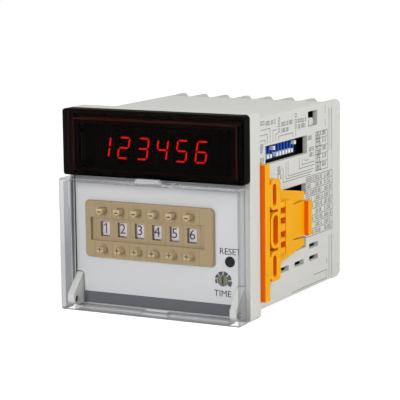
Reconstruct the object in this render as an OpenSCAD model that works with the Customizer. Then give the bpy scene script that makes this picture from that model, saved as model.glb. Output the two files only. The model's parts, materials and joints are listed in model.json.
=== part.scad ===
// Panel counter with a six-digit display and push-button thumbwheel presets.
// Origin: centre of the bezel's rear face, where it seats on the panel.
// +X is to the right seen from the front, +Y runs back through the panel, +Z is up.

/* [Bezel] */
// Width and height of the square bezel
bezel_w = 72; // [71:0.5:74]
// Depth of the bezel in front of the panel
bezel_d = 7.7; // [7:0.1:9]
// Corner radius of the bezel
bezel_r = 1.5; // [0.5:0.1:2]
// Width of the bezel's front rim beside the fascia
rim_t = 2.15; // [1.8:0.05:2.3]
// Height of the bezel's sill under the fascia
sill_t = 1.4; // [1.2:0.1:1.6]
// Height of the split between the display window and the fascia
split_z = 12; // [10:0.5:13]

/* [Case] */
// Width of the body behind the panel
body_w = 66.8; // [66:0.1:67.4]
// Height of the body behind the panel
body_h = 67.9; // [67:0.1:68]
// Drop of the body's centre below the bezel's centre
body_drop = 0.3; // [0:0.1:0.5]
// Corner radius of the body
body_r = 0.8; // [0.4:0.1:1.2]
// Wall thickness of the case
case_wall = 1.8; // [1.6:0.1:2]
// Length of the top and bottom walls behind the panel
roof_l = 61.7; // [60:0.1:63]
// How far the side walls run past the top and bottom walls
side_over = 5.1; // [4:0.1:6]
// Width of a vent slot
vent_w = 7.8; // [6:0.2:9]
// Height of a vent slot
vent_h = 1.9; // [1.6:0.1:2.4]
// Distance between vent slots along the case
vent_pitch = 12.8; // [11:0.2:13]

/* [Terminal block] */
// Terminals in a row
terminals = 7; // [5:1:7]
// Distance between terminals
terminal_pitch = 9.3; // [9:0.1:9.3]
// Thickness of the barriers between terminals
barrier_t = 1.6; // [1.2:0.1:2]
// Depth of the terminal bays
bay_d = 12.7; // [11:0.1:14]
// Height of a terminal bay
bay_h = 16.8; // [14:0.2:18]
// Radius of a terminal screw's head
screw_head_r = 2.9; // [2.4:0.1:3.1]
// Radius of a terminal screw's shank
screw_r = 1.7; // [1.3:0.1:1.9]

/* [Display] */
// Depth of the display window in front of the bezel
window_d = 4.7; // [3.8:0.1:5.4]
// Wall thickness of the display window
window_t = 1.6; // [1.2:0.1:2]
// Distance between LED digits
digit_pitch = 7.6; // [7.2:0.1:8]
// Height of an LED digit module
digit_h = 12.8; // [11:0.2:14]

/* [Cover] */
// How far the cover's sides stand in from the bezel's sides
cover_inset = 0.05; // [0:0.05:0.3]
// Depth of the clear cover in front of the bezel
cover_d = 8.5; // [8.2:0.1:9.5]
// Wall thickness of the clear cover
cover_t = 1.4; // [1.2:0.1:1.5]
// Width of the finger tab
tab_w = 11; // [8:0.5:14]
// Radius of the cover's hinge pins
pin_r = 1.2; // [0.9:0.1:1.3]
// Height of the hinge axis above the cover's bottom edge
pin_rise = 3.4; // [3.3:0.1:3.8]
// Radius of the hinge lug's nose
nose_r = 2.1; // [1.9:0.05:2.15]

/* [Fascia controls] */
// Thickness of the fascia
fascia_t = 2; // [1.6:0.1:2.2]
// Radius of the reset button
reset_r = 1.75; // [1.5:0.05:2]
// Travel of the reset button
reset_travel = 0.5; // [0.3:0.05:0.55]
// Radius of the trimmer's rotor
rotor_r = 1.9; // [1.6:0.05:2.1]

/* [Thumbwheel switch] */
// Width of one switch module
module_w = 7; // [6.9:0.05:7.1]
// Mean width of the two end pieces
end_w = 4.7; // [4.4:0.1:5]
// Height of the switch's front flange
flange_h = 20.4; // [20:0.1:21]
// Thickness of the switch's front flange
flange_t = 1.5; // [1.3:0.1:1.7]
// Circumscribed radius of a digit wheel
wheel_r = 7.4; // [7:0.1:7.5]
// Width of a digit wheel's drum
wheel_w = 4.2; // [3.8:0.1:4.3]
// Width of a digit window
digit_win_w = 3.8; // [3:0.1:3.9]
// Height of a digit window
digit_win_h = 5.4; // [4.6:0.1:5.8]
// Width of a push button
button_w = 2.5; // [2.3:0.1:2.7]
// Distance of the push buttons from the switch's centre line
button_dz = 6.7; // [6.6:0.05:6.8]
// How far a push button stands proud
button_proud = 3; // [2.6:0.1:3.2]
// Travel of a push button
button_travel = 1; // [0.6:0.1:1.1]

/* [Side switches] */
// Levers on the setting switch
dip_levers = 10; // [4:1:10]
// Distance between setting levers
dip_pitch = 2.5; // [2.4:0.02:2.54]
// Travel of a setting lever
dip_travel = 2.6; // [2:0.1:2.7]
// Travel of the slide switch
slide_travel = 2.6; // [2:0.1:2.7]

/* [Bracket] */
// Length of the bracket's bar
bar_l = 48; // [44:0.5:50]
// Thickness of the bracket's bar along the case
bar_t = 3.7; // [3.2:0.1:4.2]
// How far the bar stands out from the case
bar_out = 4.1; // [3.6:0.1:4.4]
// Width of the bracket's spring leaves
leaf_t = 2; // [1.8:0.1:2.2]
// Travel of the bracket along the case
bracket_travel = 6; // [4:0.5:6.2]

/* [Hidden] */
DIGITS = [1 : 6];
LEVERS = [1 : dip_levers];
SIDES = [-1, 1];
$fn = 48;
eps = 0.5;
fit = 0.15;
running = 0.05;

// Colours
case_grey = [0.83, 0.83, 0.81];
silver_grey = [0.77, 0.77, 0.78];
smoked_black = [0.05, 0.05, 0.05];
switch_tan = [0.63, 0.55, 0.42];
bracket_orange = [0.96, 0.62, 0.05];
wheel_white = [0.88, 0.88, 0.92];
board_green = [0.1, 0.35, 0.2];

// Bezel and the pocket that takes the display window and the fascia
bezel_half = bezel_w / 2;
bezel_front = -bezel_d;
pocket_half = bezel_half - rim_t;
pocket_bottom = -bezel_half + sill_t;
fascia_proud = 0.3;
fascia_front = bezel_front - fascia_proud;
fascia_back = fascia_front + fascia_t;
fascia_half = pocket_half - fit;
fascia_top = split_z - 0.1;
fascia_bottom = pocket_bottom + 0.1;

// Body of the case
side_l = roof_l + side_over;
body_half = body_w / 2;
body_top = body_h / 2 - body_drop;
body_bottom = -body_h / 2 - body_drop;
inner_half = body_half - case_wall;
inner_top = body_top - case_wall;
inner_bottom = body_bottom + case_wall;

// Clear cover and its hinge
cover_half = bezel_half - cover_inset;
cover_front = bezel_front - cover_d;
cover_top = split_z - 0.5;
cover_bottom = -bezel_half;
cover_in = cover_half - cover_t;
cover_chamfer = 0.7;
hinge_gap = 0.2;
swing_gap = 0.25;
pin_y = cover_front + cover_t + hinge_gap + nose_r;
pin_z = cover_bottom + pin_rise;
swing_r = fascia_front - swing_gap - pin_y;
lug_w = 2.6;
lug_out = cover_in - 0.8;
lug_in = lug_out - lug_w;
lug_rise = 9.1;
lug_clear = 0.35;
tab_x = 0.35;
tab_h = 1.4;
sill_block_x = -0.4;
sill_block_w = 9.4;

// Display window
window_front = bezel_front - window_d;
window_bottom = split_z + 0.2;
window_top = bezel_half - 0.05;
window_inner_front = window_front + window_t;
display_z = (window_bottom + window_top) / 2 - 1.35;
display_x = -0.2;
board_t = 1.6;
display_board_front = fascia_back + 1.6;
display_post_x = inner_half - 3;
post_r = 1.3;

// Thumbwheel switch
switch_x = -3.35;
switch_z = -7.1;
modules_w = len([for (i = DIGITS) i]) * module_w;
modules_x = switch_x - 0.6;
modules_left = modules_x - modules_w / 2;
modules_right = modules_x + modules_w / 2;
switch_w = modules_w + 2 * end_w;
switch_left = switch_x - switch_w / 2;
switch_right = switch_x + switch_w / 2;
flange_front = fascia_front - flange_t;
recess_front = flange_front + 1.2;
recess_h = 8.3;
recess_over = 1.8;
recess_wall = 0.6;
flange_lip = 1;
switch_body_h = flange_h - 2 * flange_lip;
module_gap = 0.06;
module_wall = 1.2;
chamber_r = wheel_r + 0.35;
wheel_y = recess_front + recess_wall + chamber_r;
switch_back = wheel_y + chamber_r + module_wall;
axle_r = 1.5;
button_front = flange_front - button_proud;
button_collar = 0.35;
button_wall = 1.2;
button_stop = flange_front + button_wall;
collar_t = 0.6;
wheel_in = -module_w / 2 + module_wall + 0.2;
ratchet_w = 0.9;

// Fascia controls
reset_x = switch_right + 5.75;
trimmer_x = switch_right + 2.85;
trimmer_z = pin_z + lug_rise + 1.5;
reset_z = trimmer_z + 6.8;
control_board_front = fascia_back + 8;
control_board_back = control_board_front + board_t;
tact_w = 6;
plunger_r = 1.2;
plunger_h = 5;
plunger_front = control_board_front - plunger_h;
tact_h = 4.2;
trimmer_w = 6.4;
trimmer_front = fascia_back + 1.2;
stem_l = 3;
control_board_bottom = inner_bottom + 2.45;
control_board_top = reset_z + 11;

// Boards along the sides of the case
board_x = inner_half - 4.7;
board_start = max(control_board_back + 2.4, switch_back + 1);
board_end = roof_l - 6;
board_gap = 0.25;
rail_h = 2;
rail_t = 1.2;

// Setting switch and slide switch on the right-hand board
dip_face = inner_half - 0.6;
dip_y = 24.9;
dip_z = body_top - 13.55;
dip_h = 5.8;
dip_body_z = dip_z + 0.4;
dip_l = dip_levers * dip_pitch + 1;
lever_t = 1.2;
lever_h = 1.4;
lever_proud = 1.5;
lever_slot_d = 1;
dip_window_z = dip_z - 0.3;
dip_window_h = 6.6;
dip_window_from = 9.5;
dip_window_to = 44.4;
slide_y = roof_l - 12.4;
slide_z = body_top - 4.85;
slide_window_w = 8.2;
slide_window_h = 5.6;
slide_lever_w = 5.4;
slide_lever_h = 2.8;
slide_body_l = 10;

// Mounting brackets
bracket_z = -6.2;
bracket_gap = 0.3;
bracket_in = body_half + bracket_gap;
bar_from = 0;
bar_to = bar_from + bar_t;
ring_from = bar_to + 1.5;
ring_w = 2 * leaf_t + 4.1;
ring_to = ring_from + ring_w;
ring_t = 3.3;
rib_from = ring_to + 3.7;
rib_l = 4.2;
rib_half = 9.2;
rib_out = 3.9;
plate_l = 10;
plate_to = rib_from + plate_l;
plate_half = 12.8;
plate_t = 2;
arm_l = 9.7;
arm_tip = plate_to + arm_l;
arm_tip_out = 9.9;
arm_tip_in = 7.3;
tongue_half = 6.3;
tongue_l = 12.9;
tongue_to = plate_to + tongue_l;
lip_l = 3.2;
lip_out = 1.7;
hook_l = 3.2;
slot_in = 7.6;
slot_out = 12;
slot_run = 20;
slot_from = arm_tip - hook_l - slot_run;
slot_to = arm_tip + bracket_travel + 0.4;
relief_d = 0.3;
relief_l = bar_l + 2;

// Terminal block
rear_y = roof_l + bay_d;
row_centre = (terminals - 1) / 2;
base_t = 4;
bay_floor_z = body_h / 2 - bay_h;
barrier_chamfer_y = 2.2;
barrier_chamfer_z = 1.5;
screw_z = bay_floor_z + bay_h / 2;
clamp_t = 0.8;
clamp_lip_t = 0.5;
clamp_w = 2 * (screw_head_r + fit + clamp_lip_t);
screw_head_h = 2.2;
bump_r = 2.8;
bump_out = 0.6;

// Transformer and relay on the left-hand board
coil_l = 21;
coil_h = 15.4;
coil_w = 20.4;
core_stack = 14;
core_w = 30;
core_h = 25;
core_leg = 4.5;
core_y = 30;
core_z = -12;
relay_x = 15;
relay_y = 19;
relay_h = 15;
relay_z = 14;

// Outline drawn in the X-Z plane, extruded along Y
module along_y(y0, y1) {
    translate([0, y1, 0]) rotate([90, 0, 0]) linear_extrude(y1 - y0) children();
}

// Outline drawn in the Y-Z plane, extruded along X
module along_x(x0, x1) {
    translate([x0, 0, 0]) rotate([90, 0, 90]) linear_extrude(x1 - x0) children();
}

// Rectangle between two corners
module span(p, q) {
    translate(p) square([q[0] - p[0], q[1] - p[1]]);
}

// Rectangle between two corners with rounded corners
module round_span(p, q, r) {
    span([p[0] + r, p[1]], [q[0] - r, q[1]]);
    span([p[0], p[1] + r], [q[0], q[1] - r]);
    for (x = [p[0] + r, q[0] - r], z = [p[1] + r, q[1] - r]) translate([x, z]) circle(r);
}

// Box between two corners
module block(p, q) {
    translate(p) cube([q[0] - p[0], q[1] - p[1], q[2] - p[2]]);
}

// Rectangle between two corners with cut corners
module cut_span(p, q, c) {
    polygon([[p[0] + c, p[1]], [q[0] - c, p[1]], [q[0], p[1] + c], [q[0], q[1] - c],
             [q[0] - c, q[1]], [p[0] + c, q[1]], [p[0], q[1] - c], [p[0], p[1] + c]]);
}

// Moulded case: bezel, body tube and hinge lugs
module case() {
    color(case_grey) difference() {
        union() {
            along_y(bezel_front, 0)
                round_span([-bezel_half, -bezel_half], [bezel_half, bezel_half], bezel_r);
            along_y(-eps, side_l)
                round_span([-body_half, body_bottom], [body_half, body_top], body_r);
        }
        along_y(bezel_front - eps, fascia_back)
            span([-pocket_half, pocket_bottom], [pocket_half, pocket_half]);
        along_y(fascia_back - eps, side_l + eps)
            span([-inner_half, inner_bottom], [inner_half, inner_top]);
        roof_cuts();
        for (s = SIDES) {
            bracket_relief(s);
            bracket_slots(s);
            side_grooves(s);
            vents(s);
        }
        side_windows();
    }
    color(case_grey) {
        for (s = SIDES) hinge_lug(s);
        for (s = SIDES) board_rails(s);
        block([sill_block_x - sill_block_w / 2, fascia_front - 0.35, -bezel_half],
              [sill_block_x + sill_block_w / 2, bezel_front + eps, pocket_bottom]);
    }
}

// Top and bottom walls end where the terminal bays begin
module roof_cuts() {
    for (z = [inner_bottom - case_wall - eps, inner_top])
        block([-inner_half, roof_l, z], [inner_half, side_l + eps, z + case_wall + eps]);
}

// Shallow step behind the bezel that the bracket's bar bears on
module bracket_relief(s) {
    mirror([s < 0 ? 1 : 0, 0, 0])
        block([body_half, -relief_d, bracket_z - relief_l / 2], [bezel_w, eps, bracket_z + relief_l / 2]);
}

// Slots in the side wall that the bracket's hooks ride in
module bracket_slots(s) {
    for (t = SIDES)
        translate([s * (body_half - case_wall / 2), (slot_from + slot_to) / 2,
                   bracket_z + t * (slot_in + slot_out) / 2])
            cube([case_wall + eps, slot_to - slot_from, slot_out - slot_in], center = true);
}

// Pairs of moulded grooves near the rear of the side wall
module side_grooves(s) {
    groove_w = 0.6;
    groove_d = 0.4;
    groove_l = 16;
    for (y = [side_l - 2.7, side_l - 0.6], z = [body_top - 2.4 - groove_l, body_bottom + 1.2])
        translate([s * body_half, y, z + groove_l / 2])
            cube([2 * groove_d, groove_w, groove_l], center = true);
}

// Vent slots low on the side wall
module vents(s) {
    vent_y = roof_l - 11.7;
    vent_z = -23.2;
    vent_rise = 4.7;
    places = [[vent_y, vent_z], [vent_y, vent_z + vent_rise], [vent_y - vent_pitch, vent_z],
              [vent_y - 2 * vent_pitch, vent_z]];
    for (p = places)
        translate([s * (body_half - case_wall / 2), p[0], p[1]])
            cube([case_wall + eps, vent_w, vent_h], center = true);
}

// Openings in the right-hand wall for the setting switches
module side_windows() {
    along_x(inner_half - eps, body_half + eps) {
        span([dip_window_from, dip_window_z - dip_window_h / 2],
             [dip_window_to, dip_window_z + dip_window_h / 2]);
        span([slide_y - slide_window_w / 2, slide_z - slide_window_h / 2],
             [slide_y + slide_window_w / 2, slide_z + slide_window_h / 2]);
    }
}

// Wedge at the foot of the bezel that carries a hinge pin of the cover
module hinge_lug(s) {
    nose_y = pin_y - nose_r;
    difference() {
        union() {
            mirror([s < 0 ? 1 : 0, 0, 0]) along_x(lug_in, lug_out) {
                polygon([[fascia_back + eps, pin_z - nose_r], [pin_y, pin_z - nose_r],
                         [pin_y, pin_z], [nose_y, pin_z], [nose_y, pin_z + nose_r],
                         [fascia_front, pin_z + lug_rise], [fascia_back + eps, pin_z + lug_rise]]);
                translate([pin_y, pin_z]) circle(nose_r);
            }
            mirror([s < 0 ? 1 : 0, 0, 0])
                block([lug_in, bezel_front, pocket_bottom - eps],
                      [pocket_half + eps, fascia_back + eps, pin_z + lug_rise]);
        }
        translate([s * lug_out, pin_y, pin_z]) rotate([0, 90, 0])
            cylinder(r = pin_r + running, h = 3 * lug_w, center = true);
    }
}

// Pairs of ribs that hold the edges of a circuit board, the outer one clear of the slide switch
module board_rails(s) {
    inner = board_x - fit - rail_t;
    outer = board_x + board_t + fit;
    outer_end = slide_y - slide_body_l / 2 - 0.5;
    mirror([s < 0 ? 1 : 0, 0, 0]) for (r = [[inner, board_end], [outer, outer_end]]) {
        block([r[0], board_start, inner_top - rail_h], [r[0] + rail_t, r[1], inner_top + eps]);
        block([r[0], board_start, inner_bottom - eps], [r[0] + rail_t, r[1], inner_bottom + rail_h]);
    }
}

// Rear block with two rows of open terminal bays
module terminal_block() {
    plug_half = inner_half - fit;
    label_half_w = body_half - 4;
    label_half_h = bay_floor_z - 3;
    color(case_grey) difference() {
        union() {
            along_y(roof_l - base_t, roof_l)
                span([-plug_half, inner_bottom + fit], [plug_half, inner_top - fit]);
            along_y(roof_l - eps, side_l + eps)
                span([-plug_half, -bay_floor_z - body_drop], [plug_half, bay_floor_z - body_drop]);
            along_y(side_l + fit, rear_y)
                span([-body_half, -bay_floor_z - body_drop], [body_half, bay_floor_z - body_drop]);
            barriers();
        }
        for (k = [0 : terminals - 1], t = SIDES) screw_bore(k, t);
        block([-label_half_w, rear_y - 0.6, -label_half_h - body_drop],
              [label_half_w, rear_y + eps, label_half_h - body_drop]);
    }
    color(case_grey) for (s = SIDES, t = SIDES) cover_bump(s, t);
}

// X position of terminal k, counted from the left
function terminal_x(k) = (k - row_centre) * terminal_pitch;

// Ribs between the terminals and walls at the ends of the rows
module barriers() {
    end_in = terminal_x(terminals - 1) + terminal_pitch / 2 - barrier_t / 2;
    for (k = [0 : terminals - 2])
        along_x(terminal_x(k) + terminal_pitch / 2 - barrier_t / 2,
                terminal_x(k) + terminal_pitch / 2 + barrier_t / 2)
            barrier_profile(roof_l - eps, roof_l + fit);
    for (s = SIDES)
        mirror([s < 0 ? 1 : 0, 0, 0]) along_x(min(end_in, inner_half), body_half)
            barrier_profile(side_l + fit, side_l + fit);
}

// Side view of a barrier above and below the terminal block's middle, from y0 inside and y1 outside
module barrier_profile(y0, y1) {
    step_z = body_h / 2 - case_wall - fit;
    translate([0, -body_drop]) for (m = [0, 1]) mirror([0, m])
        polygon([[y0, bay_floor_z - eps], [rear_y, bay_floor_z - eps],
                 [rear_y, body_h / 2 - barrier_chamfer_z],
                 [rear_y - barrier_chamfer_y, body_h / 2], [y1, body_h / 2], [y1, step_z], [y0, step_z]]);
}

// Bore for a terminal screw
module screw_bore(k, t) {
    translate([terminal_x(k), roof_l, t * screw_z - body_drop]) rotate([90, 0, 0])
        cylinder(r = screw_r + running, h = 2 * base_t + eps, center = true);
}

// Domed bump near the rear edge that a terminal cover would clip to
module cover_bump(s, t) {
    bump_z = 28.4;
    difference() {
        translate([s * (body_half - bump_r + bump_out), rear_y - 1.9, t * bump_z - body_drop])
            sphere(bump_r);
        translate([-body_half + barrier_t / 2, 0, -bezel_w])
            cube([body_w - barrier_t, 2 * rear_y, 2 * bezel_w]);
        translate([-bezel_w, rear_y, -bezel_w]) cube(2 * bezel_w);
    }
}

// Cross-head terminal screws
module terminal_screws() {
    head_y = roof_l + clamp_t;
    slot_w = 0.8;
    slot_l = 3.4;
    color("silver") for (k = [0 : terminals - 1], t = SIDES)
        translate([terminal_x(k), head_y, t * screw_z - body_drop]) difference() {
            union() {
                rotate([-90, 0, 0]) cylinder(r = screw_head_r, h = screw_head_h);
                rotate([90, 0, 0]) cylinder(r = screw_r, h = base_t);
            }
            translate([0, screw_head_h, 0]) for (a = [0, 90]) rotate([0, a, 0])
                cube([slot_l, 2, slot_w], center = true);
        }
}

// Square clamp plates under the terminal screws
module terminal_clamps() {
    lip = 1;
    color("goldenrod") for (k = [0 : terminals - 1], t = SIDES)
        translate([terminal_x(k), roof_l, t * screw_z - body_drop]) difference() {
            union() {
                block([-clamp_w / 2, 0, -clamp_w / 2], [clamp_w / 2, clamp_t, clamp_w / 2]);
                for (x = [-clamp_w / 2, clamp_w / 2 - clamp_lip_t])
                    block([x, 0, -clamp_w / 2], [x + clamp_lip_t, clamp_t + lip, clamp_w / 2]);
            }
            rotate([90, 0, 0]) cylinder(r = screw_r + fit, h = 4 * clamp_t, center = true);
        }
}

// Smoked display window, a hollow cap that plugs into the bezel
module display_window() {
    skirt_half = pocket_half - fit;
    skirt_bottom = window_bottom + 0.1;
    edge = 0.5;
    color(smoked_black) difference() {
        union() {
            intersection() {
                along_y(window_front, bezel_front)
                    round_span([-bezel_half, window_bottom], [bezel_half, window_top], bezel_r);
                along_x(-bezel_half, bezel_half)
                    round_span([window_front, window_bottom], [bezel_front + edge, window_top], edge);
                translate([0, 0, window_bottom]) linear_extrude(window_top - window_bottom)
                    round_span([-bezel_half, window_front], [bezel_half, bezel_front + edge], edge);
            }
            along_y(bezel_front - eps, fascia_back)
                span([-skirt_half, skirt_bottom], [skirt_half, skirt_half]);
        }
        along_y(window_inner_front, fascia_back + eps)
            span([-skirt_half + window_t, skirt_bottom + window_t],
                 [skirt_half - window_t, skirt_half - window_t]);
    }
    color(smoked_black) for (s = SIDES, z = display_post_z())
        translate([s * display_post_x, window_inner_front - eps, z]) rotate([-90, 0, 0])
            cylinder(r = post_r, h = display_board_front - window_inner_front + eps);
}

// Heights of the posts that carry the display board
function display_post_z() = [window_bottom + 4, inner_top - 3];

// Circuit board behind the display
module display_board() {
    color(board_green) along_y(display_board_front, display_board_front + board_t)
        span([-inner_half + board_gap, window_bottom + 0.5],
             [inner_half - board_gap, inner_top - board_gap]);
}

// Seven-segment display modules
module led_digits() {
    digit_w = digit_pitch - 0.2;
    color("dimgray") for (i = DIGITS)
        translate([display_x + (i - 3.5) * digit_pitch, 0, display_z])
            block([-digit_w / 2, window_inner_front + 0.2, -digit_h / 2],
                  [digit_w / 2, display_board_front, digit_h / 2]);
}

// Fascia with openings for the presets, the reset button and the trimmer
module front_panel() {
    corner = 1;
    color(silver_grey) difference() {
        along_y(fascia_front, fascia_back)
            round_span([-fascia_half, fascia_bottom], [fascia_half, fascia_top], corner);
        along_y(fascia_front - eps, fascia_back + eps) {
            span([switch_x - switch_w / 2 + flange_lip - fit, switch_z - switch_body_h / 2 - fit],
                 [switch_x + switch_w / 2 - flange_lip + fit, switch_z + switch_body_h / 2 + fit]);
            for (s = SIDES) lug_notch(s, corner);
        }
        control_bore(reset_x, reset_z, reset_r + fit);
        control_bore(trimmer_x, trimmer_z, rotor_r + fit);
    }
    color(silver_grey) for (p = control_posts())
        translate([p[0], fascia_back - eps, p[1]]) rotate([-90, 0, 0])
            cylinder(r = post_r, h = control_board_front - fascia_back + eps);
}

// Places of the posts behind the fascia that carry the control board
function control_posts() =
    [[lug_in - lug_clear - post_r - 0.35,
      min(control_board_bottom + 2, trimmer_z - trimmer_w / 2 - post_r - 0.3)],
     [reset_x - 1, control_board_top - 2]];

// Corner notch of the fascia around a hinge lug
module lug_notch(s, r) {
    mirror([s < 0 ? 1 : 0, 0])
        round_span([lug_in - lug_clear, fascia_bottom - 2 * r],
                   [fascia_half + 2 * r, pin_z + lug_rise + lug_clear], r);
}

// Round hole through the fascia
module control_bore(x, z, r) {
    translate([x, (fascia_front + fascia_back) / 2, z]) rotate([90, 0, 0])
        cylinder(r = r, h = fascia_t + 2 * eps, center = true);
}

// Clear hinged cover over the fascia
module clear_cover() {
    color([0.9, 0.93, 0.95, 0.35]) {
        difference() {
            cover_shell();
            cover_swing_cut();
            for (s = SIDES) cover_lug_cut(s);
            sill_block_gap();
            catch_slot();
        }
        for (s = SIDES) cover_pin(s);
        for (s = SIDES) cover_pad(s);
        finger_tab();
    }
}

// Five walls of the cover with cut outer edges
module cover_shell() {
    back = pin_y + swing_r;
    far_back = back + 2 * cover_chamfer;
    difference() {
        intersection() {
            along_y(cover_front, back)
                cut_span([-cover_half, cover_bottom], [cover_half, cover_top], cover_chamfer);
            along_x(-cover_half, cover_half)
                cut_span([cover_front, cover_bottom], [far_back, cover_top], cover_chamfer);
            translate([0, 0, cover_bottom]) linear_extrude(cover_top - cover_bottom)
                cut_span([-cover_half, cover_front], [cover_half, far_back], cover_chamfer);
        }
        block([-cover_in, cover_front + cover_t, cover_bottom + cover_t],
              [cover_in, back + eps, cover_top - cover_t]);
    }
}

// Round off everything behind and below the hinge axis so that the cover can swing
module cover_swing_cut() {
    along_x(-cover_half - eps, cover_half + eps) difference() {
        span([pin_y, cover_bottom - eps], [fascia_front + eps, pin_z]);
        translate([pin_y, pin_z]) circle(swing_r);
    }
}

// Gap in the bottom wall at the bezel's sill block
module sill_block_gap() {
    half = sill_block_w / 2 + lug_clear;
    gap_l = 3.4;
    block([sill_block_x - half, fascia_front - gap_l, cover_bottom - eps],
          [sill_block_x + half, fascia_front, cover_bottom + cover_t + eps]);
}

// Gap in the bottom wall at a hinge lug
module cover_lug_cut(s) {
    mirror([s < 0 ? 1 : 0, 0, 0])
        block([lug_in - lug_clear, cover_front + cover_t, cover_bottom - eps],
              [cover_in, fascia_front, cover_bottom + cover_t + eps]);
}

// Slot beside the finger tab
module catch_slot() {
    slot_x = tab_x + tab_w / 2 + 1;
    slot_w = 3.2;
    block([slot_x, cover_front + cover_t + 0.6, cover_top - 2 * cover_t],
          [slot_x + slot_w, cover_front + cover_t + 3.2, cover_top + eps]);
}

// Hinge pin inside a side wall
module cover_pin(s) {
    mirror([s < 0 ? 1 : 0, 0, 0]) translate([lug_in + 0.6, pin_y, pin_z]) rotate([0, 90, 0])
        cylinder(r = pin_r, h = cover_in - lug_in);
}

// Thicker upper part of a side wall
module cover_pad(s) {
    pad_t = 0.25;
    mirror([s < 0 ? 1 : 0, 0, 0])
        block([cover_half - pad_t, cover_front + cover_chamfer + 0.4, 0],
              [cover_half + pad_t, pin_y + swing_r - 0.6, cover_top - cover_chamfer]);
}

// Lip at the top edge for opening the cover
module finger_tab() {
    slope = 1.2;
    half = tab_w / 2;
    along_y(cover_front, cover_front + cover_t + 0.2) translate([tab_x, cover_top])
        polygon([[-half, -cover_chamfer], [half, -cover_chamfer], [half, 0], [half - slope, tab_h],
                 [-half + slope, tab_h], [-half, 0]]);
}

// Small board behind the fascia with the reset switch and the trimmer
module control_board() {
    left = trimmer_x - trimmer_w / 2 - 0.4;
    color(board_green) along_y(control_board_front, control_board_back)
        span([left, control_board_bottom], [inner_half - 0.4, control_board_top]);
}

// Push switch under the reset button
module reset_switch() {
    face = control_board_front - tact_h;
    color("dimgray") translate([reset_x, 0, reset_z]) {
        block([-tact_w / 2, face, -tact_w / 2], [tact_w / 2, control_board_front, tact_w / 2]);
        translate([0, plunger_front, 0]) rotate([-90, 0, 0])
            cylinder(r = plunger_r, h = face - plunger_front + eps);
    }
}

// Reset button with its retaining collar
module reset_button() {
    proud = 0.6;
    collar = 0.6;
    back = plunger_front - reset_travel - 0.1;
    color("black") translate([reset_x, 0, reset_z]) rotate([-90, 0, 0]) {
        translate([0, 0, fascia_front - proud])
            cylinder(r = reset_r, h = back - fascia_front + proud);
        translate([0, 0, fascia_back + fit]) cylinder(r = reset_r + collar, h = 0.8);
    }
}

// Body of the trimmer on the control board
module trimmer_body() {
    color("royalblue") translate([trimmer_x, 0, trimmer_z]) difference() {
        block([-trimmer_w / 2, trimmer_front, -trimmer_w / 2],
              [trimmer_w / 2, control_board_front, trimmer_w / 2]);
        rotate([-90, 0, 0]) translate([0, 0, trimmer_front - eps])
            cylinder(r = rotor_r / 2 + running, h = stem_l + 2 * eps);
    }
}

// Slotted rotor of the trimmer
module trimmer_rotor() {
    front = fascia_front + 0.1;
    slot_w = 0.8;
    slot_d = 0.7;
    color(case_grey) translate([trimmer_x, 0, trimmer_z]) difference() {
        rotate([-90, 0, 0]) {
            translate([0, 0, front]) cylinder(r = rotor_r, h = trimmer_front - 0.1 - front);
            translate([0, 0, front]) cylinder(r = rotor_r / 2, h = trimmer_front + stem_l - front);
        }
        translate([0, front, 0])
            cube([slot_w, 2 * slot_d, 1.4 * rotor_r], center = true);
    }
}

// Circuit board in the right-hand rails
module main_board() {
    color(board_green) side_board();
}

// Circuit board in the left-hand rails
module power_board() {
    color(board_green) mirror([1, 0, 0]) side_board();
}

// Upright board along a side of the case
module side_board() {
    block([board_x, board_start, inner_bottom + board_gap],
          [board_x + board_t, board_end, inner_top - board_gap]);
}

// Body of the setting switch with its lever slots
module dip_body() {
    slot_h = dip_travel + lever_h + 0.3;
    color("royalblue") difference() {
        block([board_x + board_t, dip_y - dip_l / 2, dip_body_z - dip_h / 2],
              [dip_face, dip_y + dip_l / 2, dip_body_z + dip_h / 2]);
        for (i = LEVERS)
            translate([dip_face, lever_y(i), dip_z])
                cube([2 * lever_slot_d, lever_t + 2 * fit, slot_h], center = true);
    }
}

// Place of setting lever i along the case
function lever_y(i) = dip_y + (i - (dip_levers + 1) / 2) * dip_pitch;

// Levers that are switched up
function lever_up(i) = i == 3 || i == dip_levers;

// Setting lever i
module dip_lever(i) {
    z = dip_z + (lever_up(i) ? 1 : -1) * dip_travel / 2;
    color("white") translate([0, lever_y(i), z])
        block([dip_face - lever_slot_d + 0.1, -lever_t / 2, -lever_h / 2],
              [dip_face + lever_proud, lever_t / 2, lever_h / 2]);
}

// Body of the slide switch
module slide_switch_body() {
    body_half_h = 2.9;
    slot_h = slide_travel + slide_lever_h + 0.2;
    color("dimgray") difference() {
        block([board_x + board_t, slide_y - slide_body_l / 2, slide_z - body_half_h],
              [dip_face, slide_y + slide_body_l / 2, slide_z + body_half_h]);
        translate([dip_face, slide_y, slide_z])
            cube([2 * lever_slot_d, slide_lever_w + 2 * fit, slot_h], center = true);
    }
}

// Rounded lever of the slide switch, resting at its lower end
module slide_switch_lever() {
    round_r = 1.2;
    color(case_grey) along_x(dip_face - lever_slot_d + 0.1, dip_face + lever_proud)
        round_span([slide_y - slide_lever_w / 2, slide_z - (slide_travel + slide_lever_h) / 2],
                   [slide_y + slide_lever_w / 2, slide_z - (slide_travel - slide_lever_h) / 2], round_r);
}

// Laminated core of the transformer
module transformer_core() {
    leg = 2 * core_leg;
    window_h = core_h - 2 * core_leg;
    window_w = (core_w - leg - 2 * core_leg) / 2;
    from = -board_x + (coil_l - core_stack) / 2;
    color("gray") translate([0, core_y, core_z]) difference() {
        block([from, -core_w / 2, -core_h / 2], [from + core_stack, core_w / 2, core_h / 2]);
        for (s = SIDES) translate([from + core_stack / 2, s * (leg + window_w) / 2, 0])
            cube([core_stack + 2 * eps, window_w, window_h], center = true);
    }
}

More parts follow.
